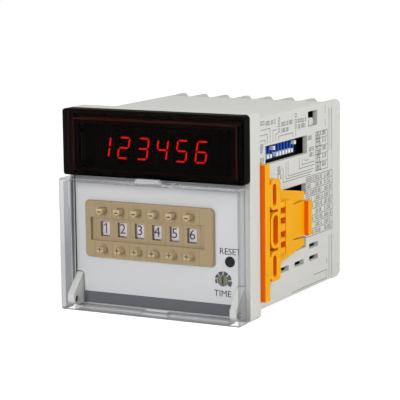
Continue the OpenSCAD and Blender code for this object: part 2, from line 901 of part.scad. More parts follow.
// Winding on the core's middle leg
module transformer_coil() {
    color("gold") translate([0, core_y, core_z]) difference() {
        block([-board_x, -coil_w / 2, -coil_h / 2], [-board_x + coil_l, coil_w / 2, coil_h / 2]);
        translate([-board_x + coil_l / 2, 0, 0])
            cube([core_stack + 2 * fit, 2 * core_leg + 2 * fit, coil_h + 2 * eps], center = true);
    }
}

// Output relay
module relay() {
    color("midnightblue") translate([-board_x, core_y, relay_z])
        block([0, -relay_y / 2, -relay_h / 2], [relay_x, relay_y / 2, relay_h / 2]);
}

// Mounting bracket of the right-hand side
module bracket_right() {
    color(bracket_orange) bracket();
}

// Mounting bracket of the left-hand side
module bracket_left() {
    color(bracket_orange) mirror([1, 0, 0]) bracket();
}

// Bracket with a bar, a leaf spring, a rib, two hooked arms and a finger tongue
module bracket() {
    translate([0, 0, bracket_z]) {
        along_x(bracket_in, body_half + bar_out + bracket_gap)
            span([bar_from, -bar_l / 2], [bar_to, bar_l / 2]);
        along_x(bracket_in + 0.4, bracket_in + 0.4 + ring_t) bracket_spring();
        along_x(bracket_in, bracket_in + rib_out)
            span([rib_from, -rib_half], [rib_from + rib_l, rib_half]);
        along_x(bracket_in, bracket_in + plate_t) bracket_plate();
        along_x(bracket_in, bracket_in + plate_t + lip_out)
            span([tongue_to - lip_l, -tongue_half], [tongue_to, tongue_half]);
        for (t = SIDES) bracket_hook(t);
    }
}

// Closed leaf loop between two hooked leaves, with ties to the bar and the rib
module bracket_spring() {
    mid = 6.4;
    mid_end = 1;
    mid_r = 3.5;
    near = 7.4;
    far = 18;
    hook_r = 2.4;
    hook_end = 1.4;
    hook_slot = [bar_to + 3.3, bar_to + 6.1];
    slot_r = (hook_slot[1] - hook_slot[0]) / 2 - 0.1;
    ties = [[0, 2.6], [4.3, 1.4], [-4.3, 1.4], [8.2, 2], [-8.2, 2]];
    difference() {
        round_span([ring_from, -mid], [ring_to, mid], mid_r);
        round_span([ring_from + leaf_t, mid_end - mid], [ring_to - leaf_t, mid - mid_end],
                   ring_w / 2 - leaf_t - 0.15);
    }
    for (m = [0, 1]) mirror([0, m]) difference() {
        union() {
            round_span([ring_from, near], [ring_to, far], hook_r);
            span([bar_to - 0.4, near + hook_end], [ring_from + leaf_t, far - hook_end]);
        }
        round_span([hook_slot[0], near + hook_end], [hook_slot[1], far - hook_end], slot_r);
    }
    span([ring_to - leaf_t - 0.3, -near - leaf_t], [ring_to, near + leaf_t]);
    for (t = ties) span([ring_to - leaf_t / 2, t[0] - t[1] / 2], [rib_from + eps, t[0] + t[1] / 2]);
}

// Flat plate with two tapered arms and the tongue between them
module bracket_plate() {
    shoulder = rib_from + 1;
    span([rib_from, -tongue_half], [tongue_to, tongue_half]);
    for (m = [0, 1]) mirror([0, m])
        polygon([[rib_from, 0], [plate_to, 0], [plate_to, arm_tip_in - 0.7], [arm_tip, arm_tip_in],
                 [arm_tip, arm_tip_out], [shoulder, plate_half], [rib_from, plate_half]]);
}

// Hook at the tip of an arm, reaching into the slot of the case
module bracket_hook(t) {
    hook_in = body_half - case_wall + 0.2;
    mirror([0, 0, t < 0 ? 1 : 0])
        block([hook_in, arm_tip - hook_l, slot_in + 0.4], [bracket_in + eps, arm_tip, arm_tip_out]);
}

// Left end piece of the thumbwheel switch
module switch_end_left() {
    color(switch_tan) switch_end(switch_left, modules_left - module_gap / 2);
}

// Right end piece of the thumbwheel switch
module switch_end_right() {
    color(switch_tan) switch_end(modules_right + module_gap / 2, switch_right);
}

// Part of the switch's frame between two places along X
module switch_end(x0, x1) {
    corner = 1.5;
    intersection() {
        difference() {
            union() {
                along_y(flange_front, fascia_front)
                    round_span([switch_left, switch_z - flange_h / 2],
                               [switch_right, switch_z + flange_h / 2], corner);
                along_y(fascia_front - eps, switch_back)
                    span([switch_left + flange_lip, switch_z - switch_body_h / 2],
                         [switch_right - flange_lip, switch_z + switch_body_h / 2]);
            }
            along_y(flange_front - eps, recess_front)
                span([modules_left - recess_over, switch_z - recess_h / 2],
                     [modules_right + recess_over, switch_z + recess_h / 2]);
        }
        block([x0, flange_front, switch_z - flange_h], [x1, switch_back, switch_z + flange_h]);
    }
}

// Centre of switch module i
function module_x(i) = modules_x + (i - 3.5) * module_w;

// Housing of switch module i, open on its right-hand side
module switch_module(i) {
    half = (module_w - module_gap) / 2;
    color(switch_tan) translate([module_x(i), 0, switch_z]) {
        difference() {
            along_x(-half, half) {
                span([flange_front, -flange_h / 2], [fascia_front, flange_h / 2]);
                span([fascia_front - eps, -switch_body_h / 2], [switch_back, switch_body_h / 2]);
            }
            along_y(flange_front - eps, recess_front)
                span([-module_w, -recess_h / 2], [module_w, recess_h / 2]);
            along_x(-module_w / 2 + module_wall, half + eps)
                translate([wheel_y, 0]) circle(chamber_r);
            along_y(recess_front - eps, wheel_y)
                span([-digit_win_w / 2, -digit_win_h / 2], [digit_win_w / 2, digit_win_h / 2]);
            for (t = SIDES) button_pocket(t);
        }
        along_x(-module_w / 2 + module_wall - eps, half - 0.3)
            translate([wheel_y, 0]) circle(axle_r);
    }
}

// Hole and pocket of a push button in the housing
module button_pocket(t) {
    translate([0, 0, t * button_dz]) {
        along_y(flange_front - eps, button_stop + eps) button_outline(-t, fit);
        along_y(button_stop, button_stop + 0.1 + collar_t + button_travel + 0.2)
            span([-button_w / 2 - button_collar - fit, -button_w / 2 - button_collar + 0.05],
                 [button_w / 2 + button_collar + fit, button_w / 2 + button_collar - 0.05]);
    }
}

// Five-sided button front, pointing up or down, grown by g on every side
module button_outline(point, g) {
    h = button_w / 2 + g;
    mirror([0, point < 0 ? 1 : 0])
        polygon([[-h, -h + 0.1], [h, -h + 0.1], [h, 0.3], [0, h - 0.1], [-h, 0.3]]);
}

// Push button of module i, above (t = 1) or below (t = -1) the wheel
module push_button(i, t) {
    back = button_stop + 0.1;
    color(switch_tan) translate([module_x(i), 0, switch_z + t * button_dz]) {
        along_y(button_front, back + collar_t) button_outline(-t, 0);
        along_y(back, back + collar_t)
            span([-button_w / 2 - button_collar, -button_w / 2 - 0.2],
                 [button_w / 2 + button_collar, button_w / 2 + 0.2]);
    }
}

// Ten-sided digit wheel of module i with its ratchet
module digit_wheel(i) {
    flats = 10;
    step = 360 / flats;
    tip_r = 5;
    root_r = 3.8;
    color(wheel_white) translate([module_x(i), wheel_y, switch_z]) difference() {
        union() {
            along_x(wheel_in, wheel_in + wheel_w) rotate(step / 2) circle(wheel_r, $fn = flats);
            along_x(wheel_in + wheel_w - eps, wheel_in + wheel_w + ratchet_w)
                polygon([for (k = [0 : flats - 1], p = [[root_r, k * step], [tip_r, (k + 0.3) * step]])
                         [p[0] * cos(p[1]), p[0] * sin(p[1])]]);
        }
        along_x(-module_w, module_w) circle(axle_r + running);
    }
}

case();
terminal_block();
terminal_screws();
terminal_clamps();
display_window();
display_board();
led_digits();
front_panel();
clear_cover();
control_board();
reset_switch();
reset_button();
trimmer_body();
trimmer_rotor();
main_board();
dip_body();
slide_switch_body();
slide_switch_lever();
power_board();
transformer_core();
transformer_coil();
relay();
bracket_right();
bracket_left();
switch_end_left();
switch_end_right();
for (i = DIGITS) {
    switch_module(i);
    digit_wheel(i);
    push_button(i, 1);
    push_button(i, -1);
}
for (i = LEVERS)
    dip_lever(i);
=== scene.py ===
"""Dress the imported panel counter.

The CAD nodes get finishes and soft edges. Printed marks, lit digits, a stage, lamps and a camera
are added to them.
"""

import json
import logging
import math
from dataclasses import dataclass, field
from enum import Enum
from functools import reduce
from typing import Iterator

import bmesh
import bpy
from mathutils import Matrix, Vector

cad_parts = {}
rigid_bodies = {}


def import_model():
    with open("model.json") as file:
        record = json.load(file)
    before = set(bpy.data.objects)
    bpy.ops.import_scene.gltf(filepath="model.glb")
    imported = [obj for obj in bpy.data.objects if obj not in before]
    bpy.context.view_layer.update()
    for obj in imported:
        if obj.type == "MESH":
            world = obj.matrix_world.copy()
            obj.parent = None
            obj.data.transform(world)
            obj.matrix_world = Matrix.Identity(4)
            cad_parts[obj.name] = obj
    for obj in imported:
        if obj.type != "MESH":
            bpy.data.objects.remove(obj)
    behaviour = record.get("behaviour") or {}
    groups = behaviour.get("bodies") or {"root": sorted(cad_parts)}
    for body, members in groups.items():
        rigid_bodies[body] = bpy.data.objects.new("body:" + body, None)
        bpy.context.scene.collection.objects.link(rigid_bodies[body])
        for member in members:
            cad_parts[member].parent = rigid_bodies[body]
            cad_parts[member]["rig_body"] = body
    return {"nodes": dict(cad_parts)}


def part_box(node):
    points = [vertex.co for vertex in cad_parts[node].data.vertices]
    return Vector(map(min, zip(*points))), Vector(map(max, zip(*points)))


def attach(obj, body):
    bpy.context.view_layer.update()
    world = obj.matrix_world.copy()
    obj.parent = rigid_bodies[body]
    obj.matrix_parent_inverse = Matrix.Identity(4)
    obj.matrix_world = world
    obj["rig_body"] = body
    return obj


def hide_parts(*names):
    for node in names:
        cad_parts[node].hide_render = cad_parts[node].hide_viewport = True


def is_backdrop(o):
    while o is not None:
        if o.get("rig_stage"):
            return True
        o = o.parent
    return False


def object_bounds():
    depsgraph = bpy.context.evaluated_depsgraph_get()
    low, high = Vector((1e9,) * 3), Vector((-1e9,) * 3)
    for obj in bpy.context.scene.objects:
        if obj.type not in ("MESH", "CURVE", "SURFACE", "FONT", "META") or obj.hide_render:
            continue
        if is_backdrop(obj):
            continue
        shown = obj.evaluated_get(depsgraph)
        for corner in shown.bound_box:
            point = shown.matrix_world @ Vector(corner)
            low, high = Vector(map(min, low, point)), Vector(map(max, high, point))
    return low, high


LOG = logging.getLogger("panel_counter")
MM = 0.001
CASE = "case"
WHITE = (1.0, 1.0, 1.0, 1.0)
SCREEN_FULL = 255
SCREEN_KNEE = 0.04045
SCREEN_SLOPE = 12.92
SCREEN_LIFT = 0.055
SCREEN_POWER = 2.4
CAPITAL_SHARE = 0.73
LETTER_STEPS = 3
SHARP_ANGLE = math.radians(40)
TO_FRONT = Matrix.Rotation(math.radians(90), 4, "X")

Colour = tuple[float, float, float]
Span = tuple[float, float]
NodeMap = dict[str, bpy.types.Object]
Socket = bpy.types.NodeSocket
BMesh = bmesh.types.BMesh


def ink(red: int, green: int, blue: int) -> Colour:
    """Turn a screen colour of 0 to 255 into the linear values that shaders take.

    Args:
        red: Red level on the screen.
        green: Green level on the screen.
        blue: Blue level on the screen.

    Returns:
        The linear colour.
    """
    levels = [level / SCREEN_FULL for level in (red, green, blue)]
    curved = [((level + SCREEN_LIFT) / (1 + SCREEN_LIFT)) ** SCREEN_POWER for level in levels]
    return tuple(
        level / SCREEN_SLOPE if level <= SCREEN_KNEE else high
        for level, high in zip(levels, curved)
    )


def tinted(colour: Colour, factor: float) -> Colour:
    """Lighten or darken a colour by a factor."""
    return tuple(min(1.0, c * factor) for c in colour)


class Axis(Enum):
    """Axes of the frame."""

    RIGHT = "X"
    BACK = "Y"
    UP = "Z"


@dataclass(frozen=True)
class Pattern:
    """Noise in a piece's own place, with the depth and share of its relief where it has one."""

    per_mm: float
    detail: float = 2.0
    depth: float = 0.0
    share: float = 0.5


class Nodes:
    """Node tree of a material or a world."""

    def __init__(self, tree: bpy.types.NodeTree) -> None:
        """Empty a tree for new nodes."""
        self.tree = tree
        tree.nodes.clear()

    def add(
        self, kind: str, values: dict[str | int, object] | None = None, **settings: object
    ) -> bpy.types.Node:
        """Add a node.

        Args:
            kind: The node's type.
            values: Values for its input sockets.
            settings: Values for its properties.

        Returns:
            The node.
        """
        node = self.tree.nodes.new(kind)
        for key, value in settings.items():
            setattr(node, key, value)
        for key, value in (values or {}).items():
            node.inputs[key].default_value = value
        return node

    def join(self, source: Socket, target: Socket) -> None:
        """Link one socket to another."""
        self.tree.links.new(source, target)

    def ramp(
        self, source: Socket, low: float, high: float, start: float = 0.0, end: float = 1.0
    ) -> Socket:
        """Map a pattern onto a range, level before its start and after its end.

        Args:
            source: The pattern.
            low: Value at the start.
            high: Value at the end.
            start: Where in the pattern the range starts.
            end: Where in the pattern the range ends.

        Returns:
            The mapped value socket.
        """
        limits = {"From Min": start, "From Max": end, "To Min": low, "To Max": high}
        node = self.add("ShaderNodeMapRange", limits)
        self.join(source, node.inputs["Value"])
        return node.outputs["Result"]

    def work_out(self, operation: str, *sources: Socket) -> Socket:
        """Work out a value from one or two others.

        Args:
            operation: The Math node's operation.
            sources: The values that go in.

        Returns:
            The value socket.
        """
        node = self.add("ShaderNodeMath", operation=operation)
        for target, source in zip(node.inputs, sources):
            self.join(source, target)
        return node.outputs[0]

    def fold(self, operation: str, *sources: Socket) -> Socket:
        """Work out a value from several others, two at a time."""
        return reduce(lambda one, two: self.work_out(operation, one, two), sources)


class Shader(Nodes):
    """A material's node tree around one Principled shader."""

    def __init__(self, name: str) -> None:
        """Start a material with its output, shader and place.

        Args:
            name: The material's name.
        """
        self.material = bpy.data.materials.new(name)
        self.material.use_nodes = True
        super().__init__(self.material.node_tree)
        self.output = self.add("ShaderNodeOutputMaterial")
        self.principled = self.add("ShaderNodeBsdfPrincipled")
        coordinates = self.add("ShaderNodeTexCoord")
        self.place = coordinates.outputs["Object"]
        self.normal = coordinates.outputs["Normal"]
        self.show(self.principled)

    def show(self, node: bpy.types.Node) -> None:
        """Let a shader node make the surface."""
        self.join(node.outputs[0], self.output.inputs["Surface"])

    def set(self, **values: object) -> None:
        """Set plain values on the shader's own sockets, with underscores for spaces."""
        for key, value in values.items():
            self.principled.inputs[key.replace("_", " ")].default_value = value

    def noise(self, pattern: Pattern) -> Socket:
        """Add a noise pattern in the piece's own place.

        Args:
            pattern: Its fineness and detail.

        Returns:
            The pattern's value socket.
        """
        values = {"Scale": pattern.per_mm / MM, "Detail": pattern.detail}
        node = self.add("ShaderNodeTexNoise", values)
        self.join(self.place, node.inputs["Vector"])
        return node.outputs["Fac"]

    def mix(self, share: Socket, first: Colour | Socket, second: Colour | Socket) -> Socket:
        """Mix two colours, each of them plain or a socket.

        Args:
            share: Share of the second colour.
            first: Colour at 0.
            second: Colour at 1.

        Returns:
            The colour socket.
        """
        node = self.add("ShaderNodeMix", data_type="RGBA")
        self.join(share, node.inputs["Factor"])
        ends = [s for s in node.inputs if s.type == "RGBA"]
        for end, colour in zip(ends, (first, second)):
            if isinstance(colour, Socket):
                self.join(colour, end)
            else:
                end.default_value = (*colour, 1.0)
        return next(s for s in node.outputs if s.type == "RGBA")

    def tones(self, source: Socket, colour: Colour, ends: Span) -> Socket:
        """Spread a colour by a pattern from its darkest to its lightest tone."""
        return self.mix(source, *(tinted(colour, factor) for factor in ends))

    def layer(self, share: Socket, under: bpy.types.Node, over: bpy.types.Node) -> bpy.types.Node:
        """Lay one shader over another.

        Args:
            share: Share of the upper shader.
            under: The lower shader.
            over: The upper shader.

        Returns:
            The node of both.
        """
        node = self.add("ShaderNodeMixShader")
        for source, target in zip((share, under.outputs[0], over.outputs[0]), node.inputs):
            self.join(source, target)
        return node

    def part(self, vector: Socket, axis: Axis) -> Socket:
        """Take one axis out of a vector.

        Args:
            vector: The vector socket.
            axis: Which axis.

        Returns:
            The value socket.
        """
        node = self.add("ShaderNodeSeparateXYZ")
        self.join(vector, node.inputs[0])
        return node.outputs[axis.value]

    def along(self, axis: Axis) -> Socket:
        """Measure a point's place along one of the piece's own axes, in metres."""
        return self.part(self.place, axis)

    def facing(self, axis: Axis) -> Socket:
        """Measure how far a surface looks along one of the piece's own axes, from -1 to 1."""
        return self.part(self.normal, axis)

    def face_on(self) -> Socket:
        """Measure how squarely a surface looks to the front or the back, from 0 to 1."""
        return self.work_out("ABSOLUTE", self.facing(Axis.BACK))

    def past(self, axis: Axis, place: float, soft: float) -> Socket:
        """Mark what lies past a place on an axis with 1, after a soft start."""
        return self.ramp(self.along(axis), 0.0, 1.0, place, place + soft)

    def before(self, axis: Axis, place: float, soft: float) -> Socket:
        """Mark what lies before a place on an axis with 1, with a soft end."""
        return self.ramp(self.along(axis), 1.0, 0.0, place, place + soft)

    def colour_by(self, source: Socket) -> None:
        """Let a colour socket paint the surface."""
        self.join(source, self.principled.inputs["Base Color"])

    def rough_by(self, source: Socket) -> None:
        """Let a value socket set the roughness."""
        self.join(source, self.principled.inputs["Roughness"])

    def uneven_gloss(self, pattern: Pattern, roughness: float, spread: float) -> None:
        """Let a pattern spread the roughness round its middle value."""
        self.rough_by(self.ramp(self.noise(pattern), roughness - spread, roughness + spread))

    def bump_by(self, source: Socket, depth: float, share: float) -> None:
        """Raise the surface by a pattern.

        Args:
            source: The height pattern.
            depth: Height of the relief in metres.
            share: Share of the relief that shows.
        """
        node = self.add("ShaderNodeBump", {"Strength": share, "Distance": depth})
        self.join(source, node.inputs["Height"])
        self.join(node.outputs["Normal"], self.principled.inputs["Normal"])

    def clear_shadow(self, tint: Colour) -> None:
        """Let lamp light through a pane to what stands behind it.

        Args:
            tint: Share of each colour that each face lets through.
        """
        clear = self.add("ShaderNodeBsdfTransparent", {"Color": (*tint, 1.0)})
        shadow = self.add("ShaderNodeLightPath").outputs["Is Shadow Ray"]
        self.show(self.layer(shadow, self.principled, clear))


@dataclass(frozen=True)
class Finish:
    """What every finish has: a name, the record's slot that it stands for and a main colour."""

    name: str
    slot: str
    colour: Colour

    def material(self) -> bpy.types.Material:
        """Build the finish.

        Returns:
            The new material.
        """
        shader = Shader(self.name)
        self.dress(shader)
        return shader.material

    def dress(self, shader: Shader) -> None:
        """Add the finish's own nodes to its shader."""
        raise NotImplementedError


@dataclass(frozen=True)
class Opaque(Finish):
    """Opaque surface whose tone and gloss drift, with a fine relief where it has one."""

    roughness: float = 0.45
    specular: float = 0.4
    metallic: float = 0.0
    spread: float = 0.06
    tones: Span = (0.98, 1.02)
    drift: Pattern = Pattern(0.06, 3.0)
    gloss: Pattern = Pattern(0.5)
    relief: Pattern | None = None

    def dress(self, shader: Shader) -> None:
        """Add the drifting tone, the uneven gloss and the relief.

        Args:
            shader: The finish's shader.
        """
        shader.colour_by(self.paint(shader))
        shader.uneven_gloss(self.gloss, self.roughness, self.spread)
        shader.set(Specular_IOR_Level=self.specular, Metallic=self.metallic)
        if self.relief is not None:
            shader.bump_by(shader.noise(self.relief), self.relief.depth, self.relief.share)

    def paint(self, shader: Shader) -> Socket:
        """Spread the colour over its tones."""
        return shader.tones(shader.noise(self.drift), self.colour, self.tones)


@dataclass(frozen=True)
class MouldedPlastic(Opaque):
    """Injection-moulded plastic with a fine spark-eroded grain."""

    relief: Pattern | None = Pattern(3.0, depth=0.02 * MM)


@dataclass(frozen=True)
class TwoTonePlastic(MouldedPlastic):
    """Saturated translucent plastic with a deeper painted shade on the faces that look forward."""

    forward_colour: Colour = field(kw_only=True)
    forward_from: Span = (-0.9, -0.2)
    specular: float = 0.08
    tones: Span = (0.94, 1.03)
    drift: Pattern = Pattern(0.08, 3.0)
    glow_share: float = 0.45
    glow_reach: float = 1.2 * MM
    glow_spread: Colour = (1.0, 0.6, 0.1)

    def dress(self, shader: Shader) -> None:
        """Add the moulded finish and the light that glows through it.

        Args:
            shader: The finish's shader.
        """
        super().dress(shader)
        shader.set(Subsurface_Weight=self.glow_share, Subsurface_Scale=self.glow_reach)
        shader.set(Subsurface_Radius=self.glow_spread)

    def paint(self, shader: Shader) -> Socket:
        """Mix in the painted shade, a deeper tone, on the faces that look forward."""
        # Painted shade: faces that look forward take the deeper orange.
        forward = shader.ramp(shader.facing(Axis.BACK), 1.0, 0.0, *self.forward_from)
        return shader.mix(forward, super().paint(shader), self.forward_colour)


@dataclass(frozen=True)
class PlatedMetal(Opaque):
    """Plated steel or brass with fine tool marks and small stains."""

    roughness: float = 0.32
    specular: float = 0.5
    metallic: float = 1.0
    spread: float = 0.1
    tones: Span = (0.86, 1.0)
    drift: Pattern = Pattern(0.4, 4.0)
    gloss: Pattern = Pattern(0.4, 4.0)
    relief: Pattern | None = Pattern(4.0, 1.0, 0.01 * MM, 0.4)


@dataclass(frozen=True)
class PrintedFilm(Opaque):
    """Silver-grey printed film with fine metallic flake."""

    roughness: float = 0.42
    spread: float = 0.05
    tones: Span = (0.96, 1.04)
    drift: Pattern = Pattern(6.0, 1.0)
    gloss: Pattern = Pattern(0.3)


@dataclass(frozen=True)
class ScreenInk(Opaque):
    """Screen-printed ink with thin and thick spots, also laid as painted shade."""

    roughness: float = 0.55
    specular: float = 0.25
    spread: float = 0.08
    tones: Span = (0.9, 1.1)
    drift: Pattern = Pattern(5.0)
    gloss: Pattern = Pattern(5.0)


@dataclass(frozen=True)
class SmokedAcrylic(Finish):
    """Dark red-smoked acrylic.

    Its polished face lets only bright red through; painted shade makes its matte walls near black.
    """

    wall_tint: Colour
    shade: Colour
    ior: float = 1.1
    wall_roughness: float = 0.6
    face_roughness: float = 0.04
    face_from: Span = (0.5, 0.9)

    def dress(self, shader: Shader) -> None:
        """Add the tints and gloss of the face and the walls, the walls' tint being painted shade.

        Args:
            shader: The window's shader.
        """
        face_on = shader.face_on()
        # Painted shade: the walls take a near-black tint, the face its smoked red.
        shader.colour_by(shader.mix(face_on, self.wall_tint, self.colour))
        limits = (self.wall_roughness, self.face_roughness)
        shader.rough_by(shader.ramp(face_on, *limits, *self.face_from))
        shader.set(Transmission_Weight=1.0, IOR=self.ior)
        shader.clear_shadow(self.shade)


@dataclass(frozen=True)
class ClearPolycarbonate(Finish):
    """Clear moulded polycarbonate.

    Bright face-on; painted shade greys its walls and cut edges; painted highlights lie in places.
    """

    wall_tint: Colour = (0.76, 0.765, 0.775)
    dense_tint: Colour = (0.54, 0.545, 0.56)
    edge_tint: Colour = (0.6, 0.603, 0.61)
    sill_tint: Colour = (0.95, 0.953, 0.957)
    under_tint: Colour = (0.42, 0.423, 0.43)
    gap_tint: Colour = (0.5, 0.503, 0.51)
    end_tint: Colour = (0.5, 0.503, 0.51)
    satin: Colour = ink(225, 226, 228)
    satin_roughness: float = 0.25
    satin_soft: float = 0.3 * MM
    gloss: Pattern = Pattern(0.1)
    gloss_roughness: Span = (0.0, 0.06)
    sheen: Span = (0.006, 0.4)
    sheen_from: float = 0.4
    soft: float = 0.1 * MM
    edge_from: Span = (0.4, 0.6)
    edge_until: float = 0.85
    edge_share: float = 0.12
    dense_way: tuple[float, float, float] = (1.0, 0.0, 1.5)
    dense_reach: float = 60 * MM
    level_from: Span = (0.4, 0.7)
    foot_top: float = -34.2 * MM
    foot_soft: float = 0.2 * MM
    foot_levels: Span = (-35.8 * MM, -34.8 * MM)
    under_depth: Span = (-14.0 * MM, -10.5 * MM)
    under_share: float = 0.5
    gap_span: Span = (-5.8 * MM, 5.0 * MM)
    gap_front: float = -11.9 * MM
    gap_top: float = -34.4 * MM
    gap_share: float = 0.5
    end_from: float = -8.6 * MM
    end_side: float = -34.0 * MM
    end_levels: Span = (-30.0 * MM, -5.0 * MM)
    tab_from: float = 11.4 * MM
    tab_share: float = 0.3
    rim_from: float = -10.2 * MM
    rim_share: float = 0.6

    def dress(self, shader: Shader) -> None:
        """Let sight and light straight through, with gloss on top and painted highlights in places.

        Args:
            shader: The cover's shader.
        """
        # The pale layer is a painted highlight on the tab, the gap, the rear rim and the cut edges.
        shader.set(Base_Color=(*self.satin, 1.0), Roughness=self.satin_roughness)
        faces = self._faces(shader)
        gap, at_foot = self._gap(shader), self._at_foot(shader)
        clear = shader.add("ShaderNodeBsdfTransparent")
        tint = self._tint(shader, faces.outputs["Color"], at_foot)
        # Painted shade: the gap's walls take a darker tint.
        shader.join(shader.mix(gap, tint, self.gap_tint), clear.inputs["Color"])
        gloss = shader.add("ShaderNodeBsdfAnisotropic")
        roughness = shader.ramp(shader.noise(self.gloss), *self.gloss_roughness)
        shader.join(roughness, gloss.inputs["Roughness"])
        slope = shader.add("ShaderNodeLayerWeight").outputs["Facing"]
        pane = shader.layer(shader.ramp(slope, *self.sheen, self.sheen_from), clear, gloss)
        satin = self._satin(shader, gap, at_foot)
        share = shader.work_out("MAXIMUM", faces.outputs["Alpha"], satin)
        shader.show(shader.layer(share, pane, shader.principled))

    def _faces(self, shader: Shader) -> bpy.types.Node:
        """Tell the cover's faces and cut edges apart by the way that they look.

        Args:
            shader: The cover's shader.

        Returns:
            A node, its colour the tint with painted shade on cut edges, its alpha painted
            highlight.
        """
        # Painted shade and highlight: cut edges take a darker tint and a share of the pale layer.
        stops = shader.add("ShaderNodeValToRGB")
        stops.color_ramp.elements[0].color = (*self.edge_tint, 0.0)
        stops.color_ramp.elements[1].color = (*self.colour, 0.0)
        shares = (0.0, self.edge_share, self.edge_share)
        for place, share in zip((*self.edge_from, self.edge_until), shares):
            stops.color_ramp.elements.new(place).color = (*self.edge_tint, share)
        shader.join(shader.face_on(), stops.inputs["Fac"])
        return stops

    def _tint(self, shader: Shader, faces: Socket, at_foot: Socket) -> Socket:
        """Tint the walls with painted shade, darker towards the cover's lower left corner.

        Args:
            shader: The cover's shader.
            faces: Tint of the faces and cut edges.
            at_foot: Mark of the bottom wall's level faces.

        Returns:
            The tint of the whole cover.
        """
        # Painted shade: the walls darken towards the cover's lower left corner.
        corner = shader.add("ShaderNodeVectorMath", {1: self.dense_way}, operation="DOT_PRODUCT")
        shader.join(shader.place, corner.inputs[0])
        away = shader.ramp(corner.outputs["Value"], 0.0, 1.0, -self.dense_reach, 0.0)
        wall = shader.mix(away, self.dense_tint, self.wall_tint)
        # Painted shade on the rear end of the left wall.
        faces_and_end = shader.mix(self._wall_end(shader), faces, self.end_tint)
        is_face = shader.ramp(shader.face_on(), 0.0, 1.0, *self.edge_from)
        upper = shader.mix(is_face, wall, faces_and_end)
        return shader.mix(at_foot, upper, self._foot(shader))

    def _wall_end(self, shader: Shader) -> Socket:
        """Mark out the left wall's rear end for painted shade, from 0 at its foot to 1.

        Args:
            shader: The cover's shader.

        Returns:
            The mark's value socket.
        """
        return shader.fold(
            "MINIMUM",
            shader.past(Axis.BACK, self.end_from, self.soft),
            shader.before(Axis.RIGHT, self.end_side, self.soft),
            shader.ramp(shader.along(Axis.UP), 0.0, 1.0, *self.end_levels),
        )

    def _at_foot(self, shader: Shader) -> Socket:
        """Mark out the level faces of the bottom wall, from 0 to 1.

        Args:
            shader: The cover's shader.

        Returns:
            The mark's value socket.
        """
        level = shader.work_out("ABSOLUTE", shader.facing(Axis.UP))
        low = shader.before(Axis.UP, self.foot_top - self.foot_soft, self.foot_soft)
        return shader.work_out("MINIMUM", shader.ramp(level, 0.0, 1.0, *self.level_from), low)

    def _foot(self, shader: Shader) -> Socket:
        """Tint the bottom wall: painted light on its upper face, painted shade below and forwards.

        Args:
            shader: The cover's shader.

        Returns:
            The tint of the wall's level faces.
        """
        # Painted shade below, darker towards the front, and a painted highlight on the upper face.
        forward = shader.ramp(shader.along(Axis.BACK), 1.0, 0.0, *self.under_depth)
        under = shader.tones(forward, self.under_tint, (1.0, self.under_share))
        upward = shader.ramp(shader.along(Axis.UP), 0.0, 1.0, *self.foot_levels)
        return shader.mix(upward, under, self.sill_tint)

    def _gap(self, shader: Shader) -> Socket:
        """Mark out the gap's walls in the bottom wall for painted shade and highlight, from 0 to 1.

        Args:
            shader: The cover's shader.

        Returns:
            The mark's value socket.
        """
        left, right = self.gap_span
        return shader.fold(
            "MINIMUM",
            shader.past(Axis.RIGHT, left - self.soft, self.soft),
            shader.before(Axis.RIGHT, right, self.soft),
            shader.past(Axis.BACK, self.gap_front, self.soft),
            shader.before(Axis.UP, self.gap_top, self.soft),
        )

    def _satin(self, shader: Shader, gap: Socket, at_foot: Socket) -> Socket:
        """Work out the painted highlight on the tab, in the gap and on the bottom wall's rear rim.

        Args:
            shader: The cover's shader.
            gap: Mark of the gap's walls.
            at_foot: Mark of the bottom wall's level faces.

        Returns:
            The share's value socket.
        """
        # Painted highlights on the tab and along the bottom wall's rear rim.
        tab = shader.past(Axis.UP, self.tab_from, self.satin_soft)
        rear = shader.past(Axis.BACK, self.rim_from, self.satin_soft)
        rim = shader.work_out("MULTIPLY", shader.ramp(rear, 0.0, self.rim_share), at_foot)
        flat = (shader.ramp(tab, 0.0, self.tab_share), shader.ramp(gap, 0.0, self.gap_share))
        return shader.fold("MAXIMUM", *flat, rim)


@dataclass(frozen=True)
class LitSegment(Finish):
    """Glowing light bar of an LED digit."""

    strength: float
    roughness: float = 0.5
    tones: Span = (0.8, 1.0)
    cloud: Pattern = Pattern(2.0, 1.0)

    def dress(self, shader: Shader) -> None:
        """Add a moulded diffuser that glows evenly.

        Args:
            shader: The light bar's shader.
        """
        shader.colour_by(shader.tones(shader.noise(self.cloud), self.colour, self.tones))
        shader.set(Emission_Color=(*self.colour, 1.0), Emission_Strength=self.strength)
        shader.set(Roughness=self.roughness)


@dataclass(frozen=True)
class CircuitBoard(Finish):
    """Solder mask with faint copper tracks under it."""

    track: Colour
    tracks_per_mm: float = 0.35
    track_width: float = 0.08
    track_depth: float = 0.03 * MM
    track_share: float = 0.5
    roughness: float = 0.325
    spread: float = 0.075
    gloss: Pattern = Pattern(0.6)

    def dress(self, shader: Shader) -> None:
        """Add a grid of tracks that shows as tone and relief.

        Args:
            shader: The board's shader.
        """
        scale = {"Scale": self.tracks_per_mm / MM}
        tracks = shader.add(
            "ShaderNodeTexVoronoi", scale, distance="MANHATTAN", feature="DISTANCE_TO_EDGE"
        )
        shader.join(shader.place, tracks.inputs["Vector"])
        line = shader.add("ShaderNodeMath", {1: self.track_width}, operation="GREATER_THAN")
        shader.join(tracks.outputs["Distance"], line.inputs[0])
        shader.colour_by(shader.mix(line.outputs[0], self.track, self.colour))
        shader.bump_by(line.outputs[0], self.track_depth, self.track_share)
        shader.uneven_gloss(self.gloss, self.roughness, self.spread)


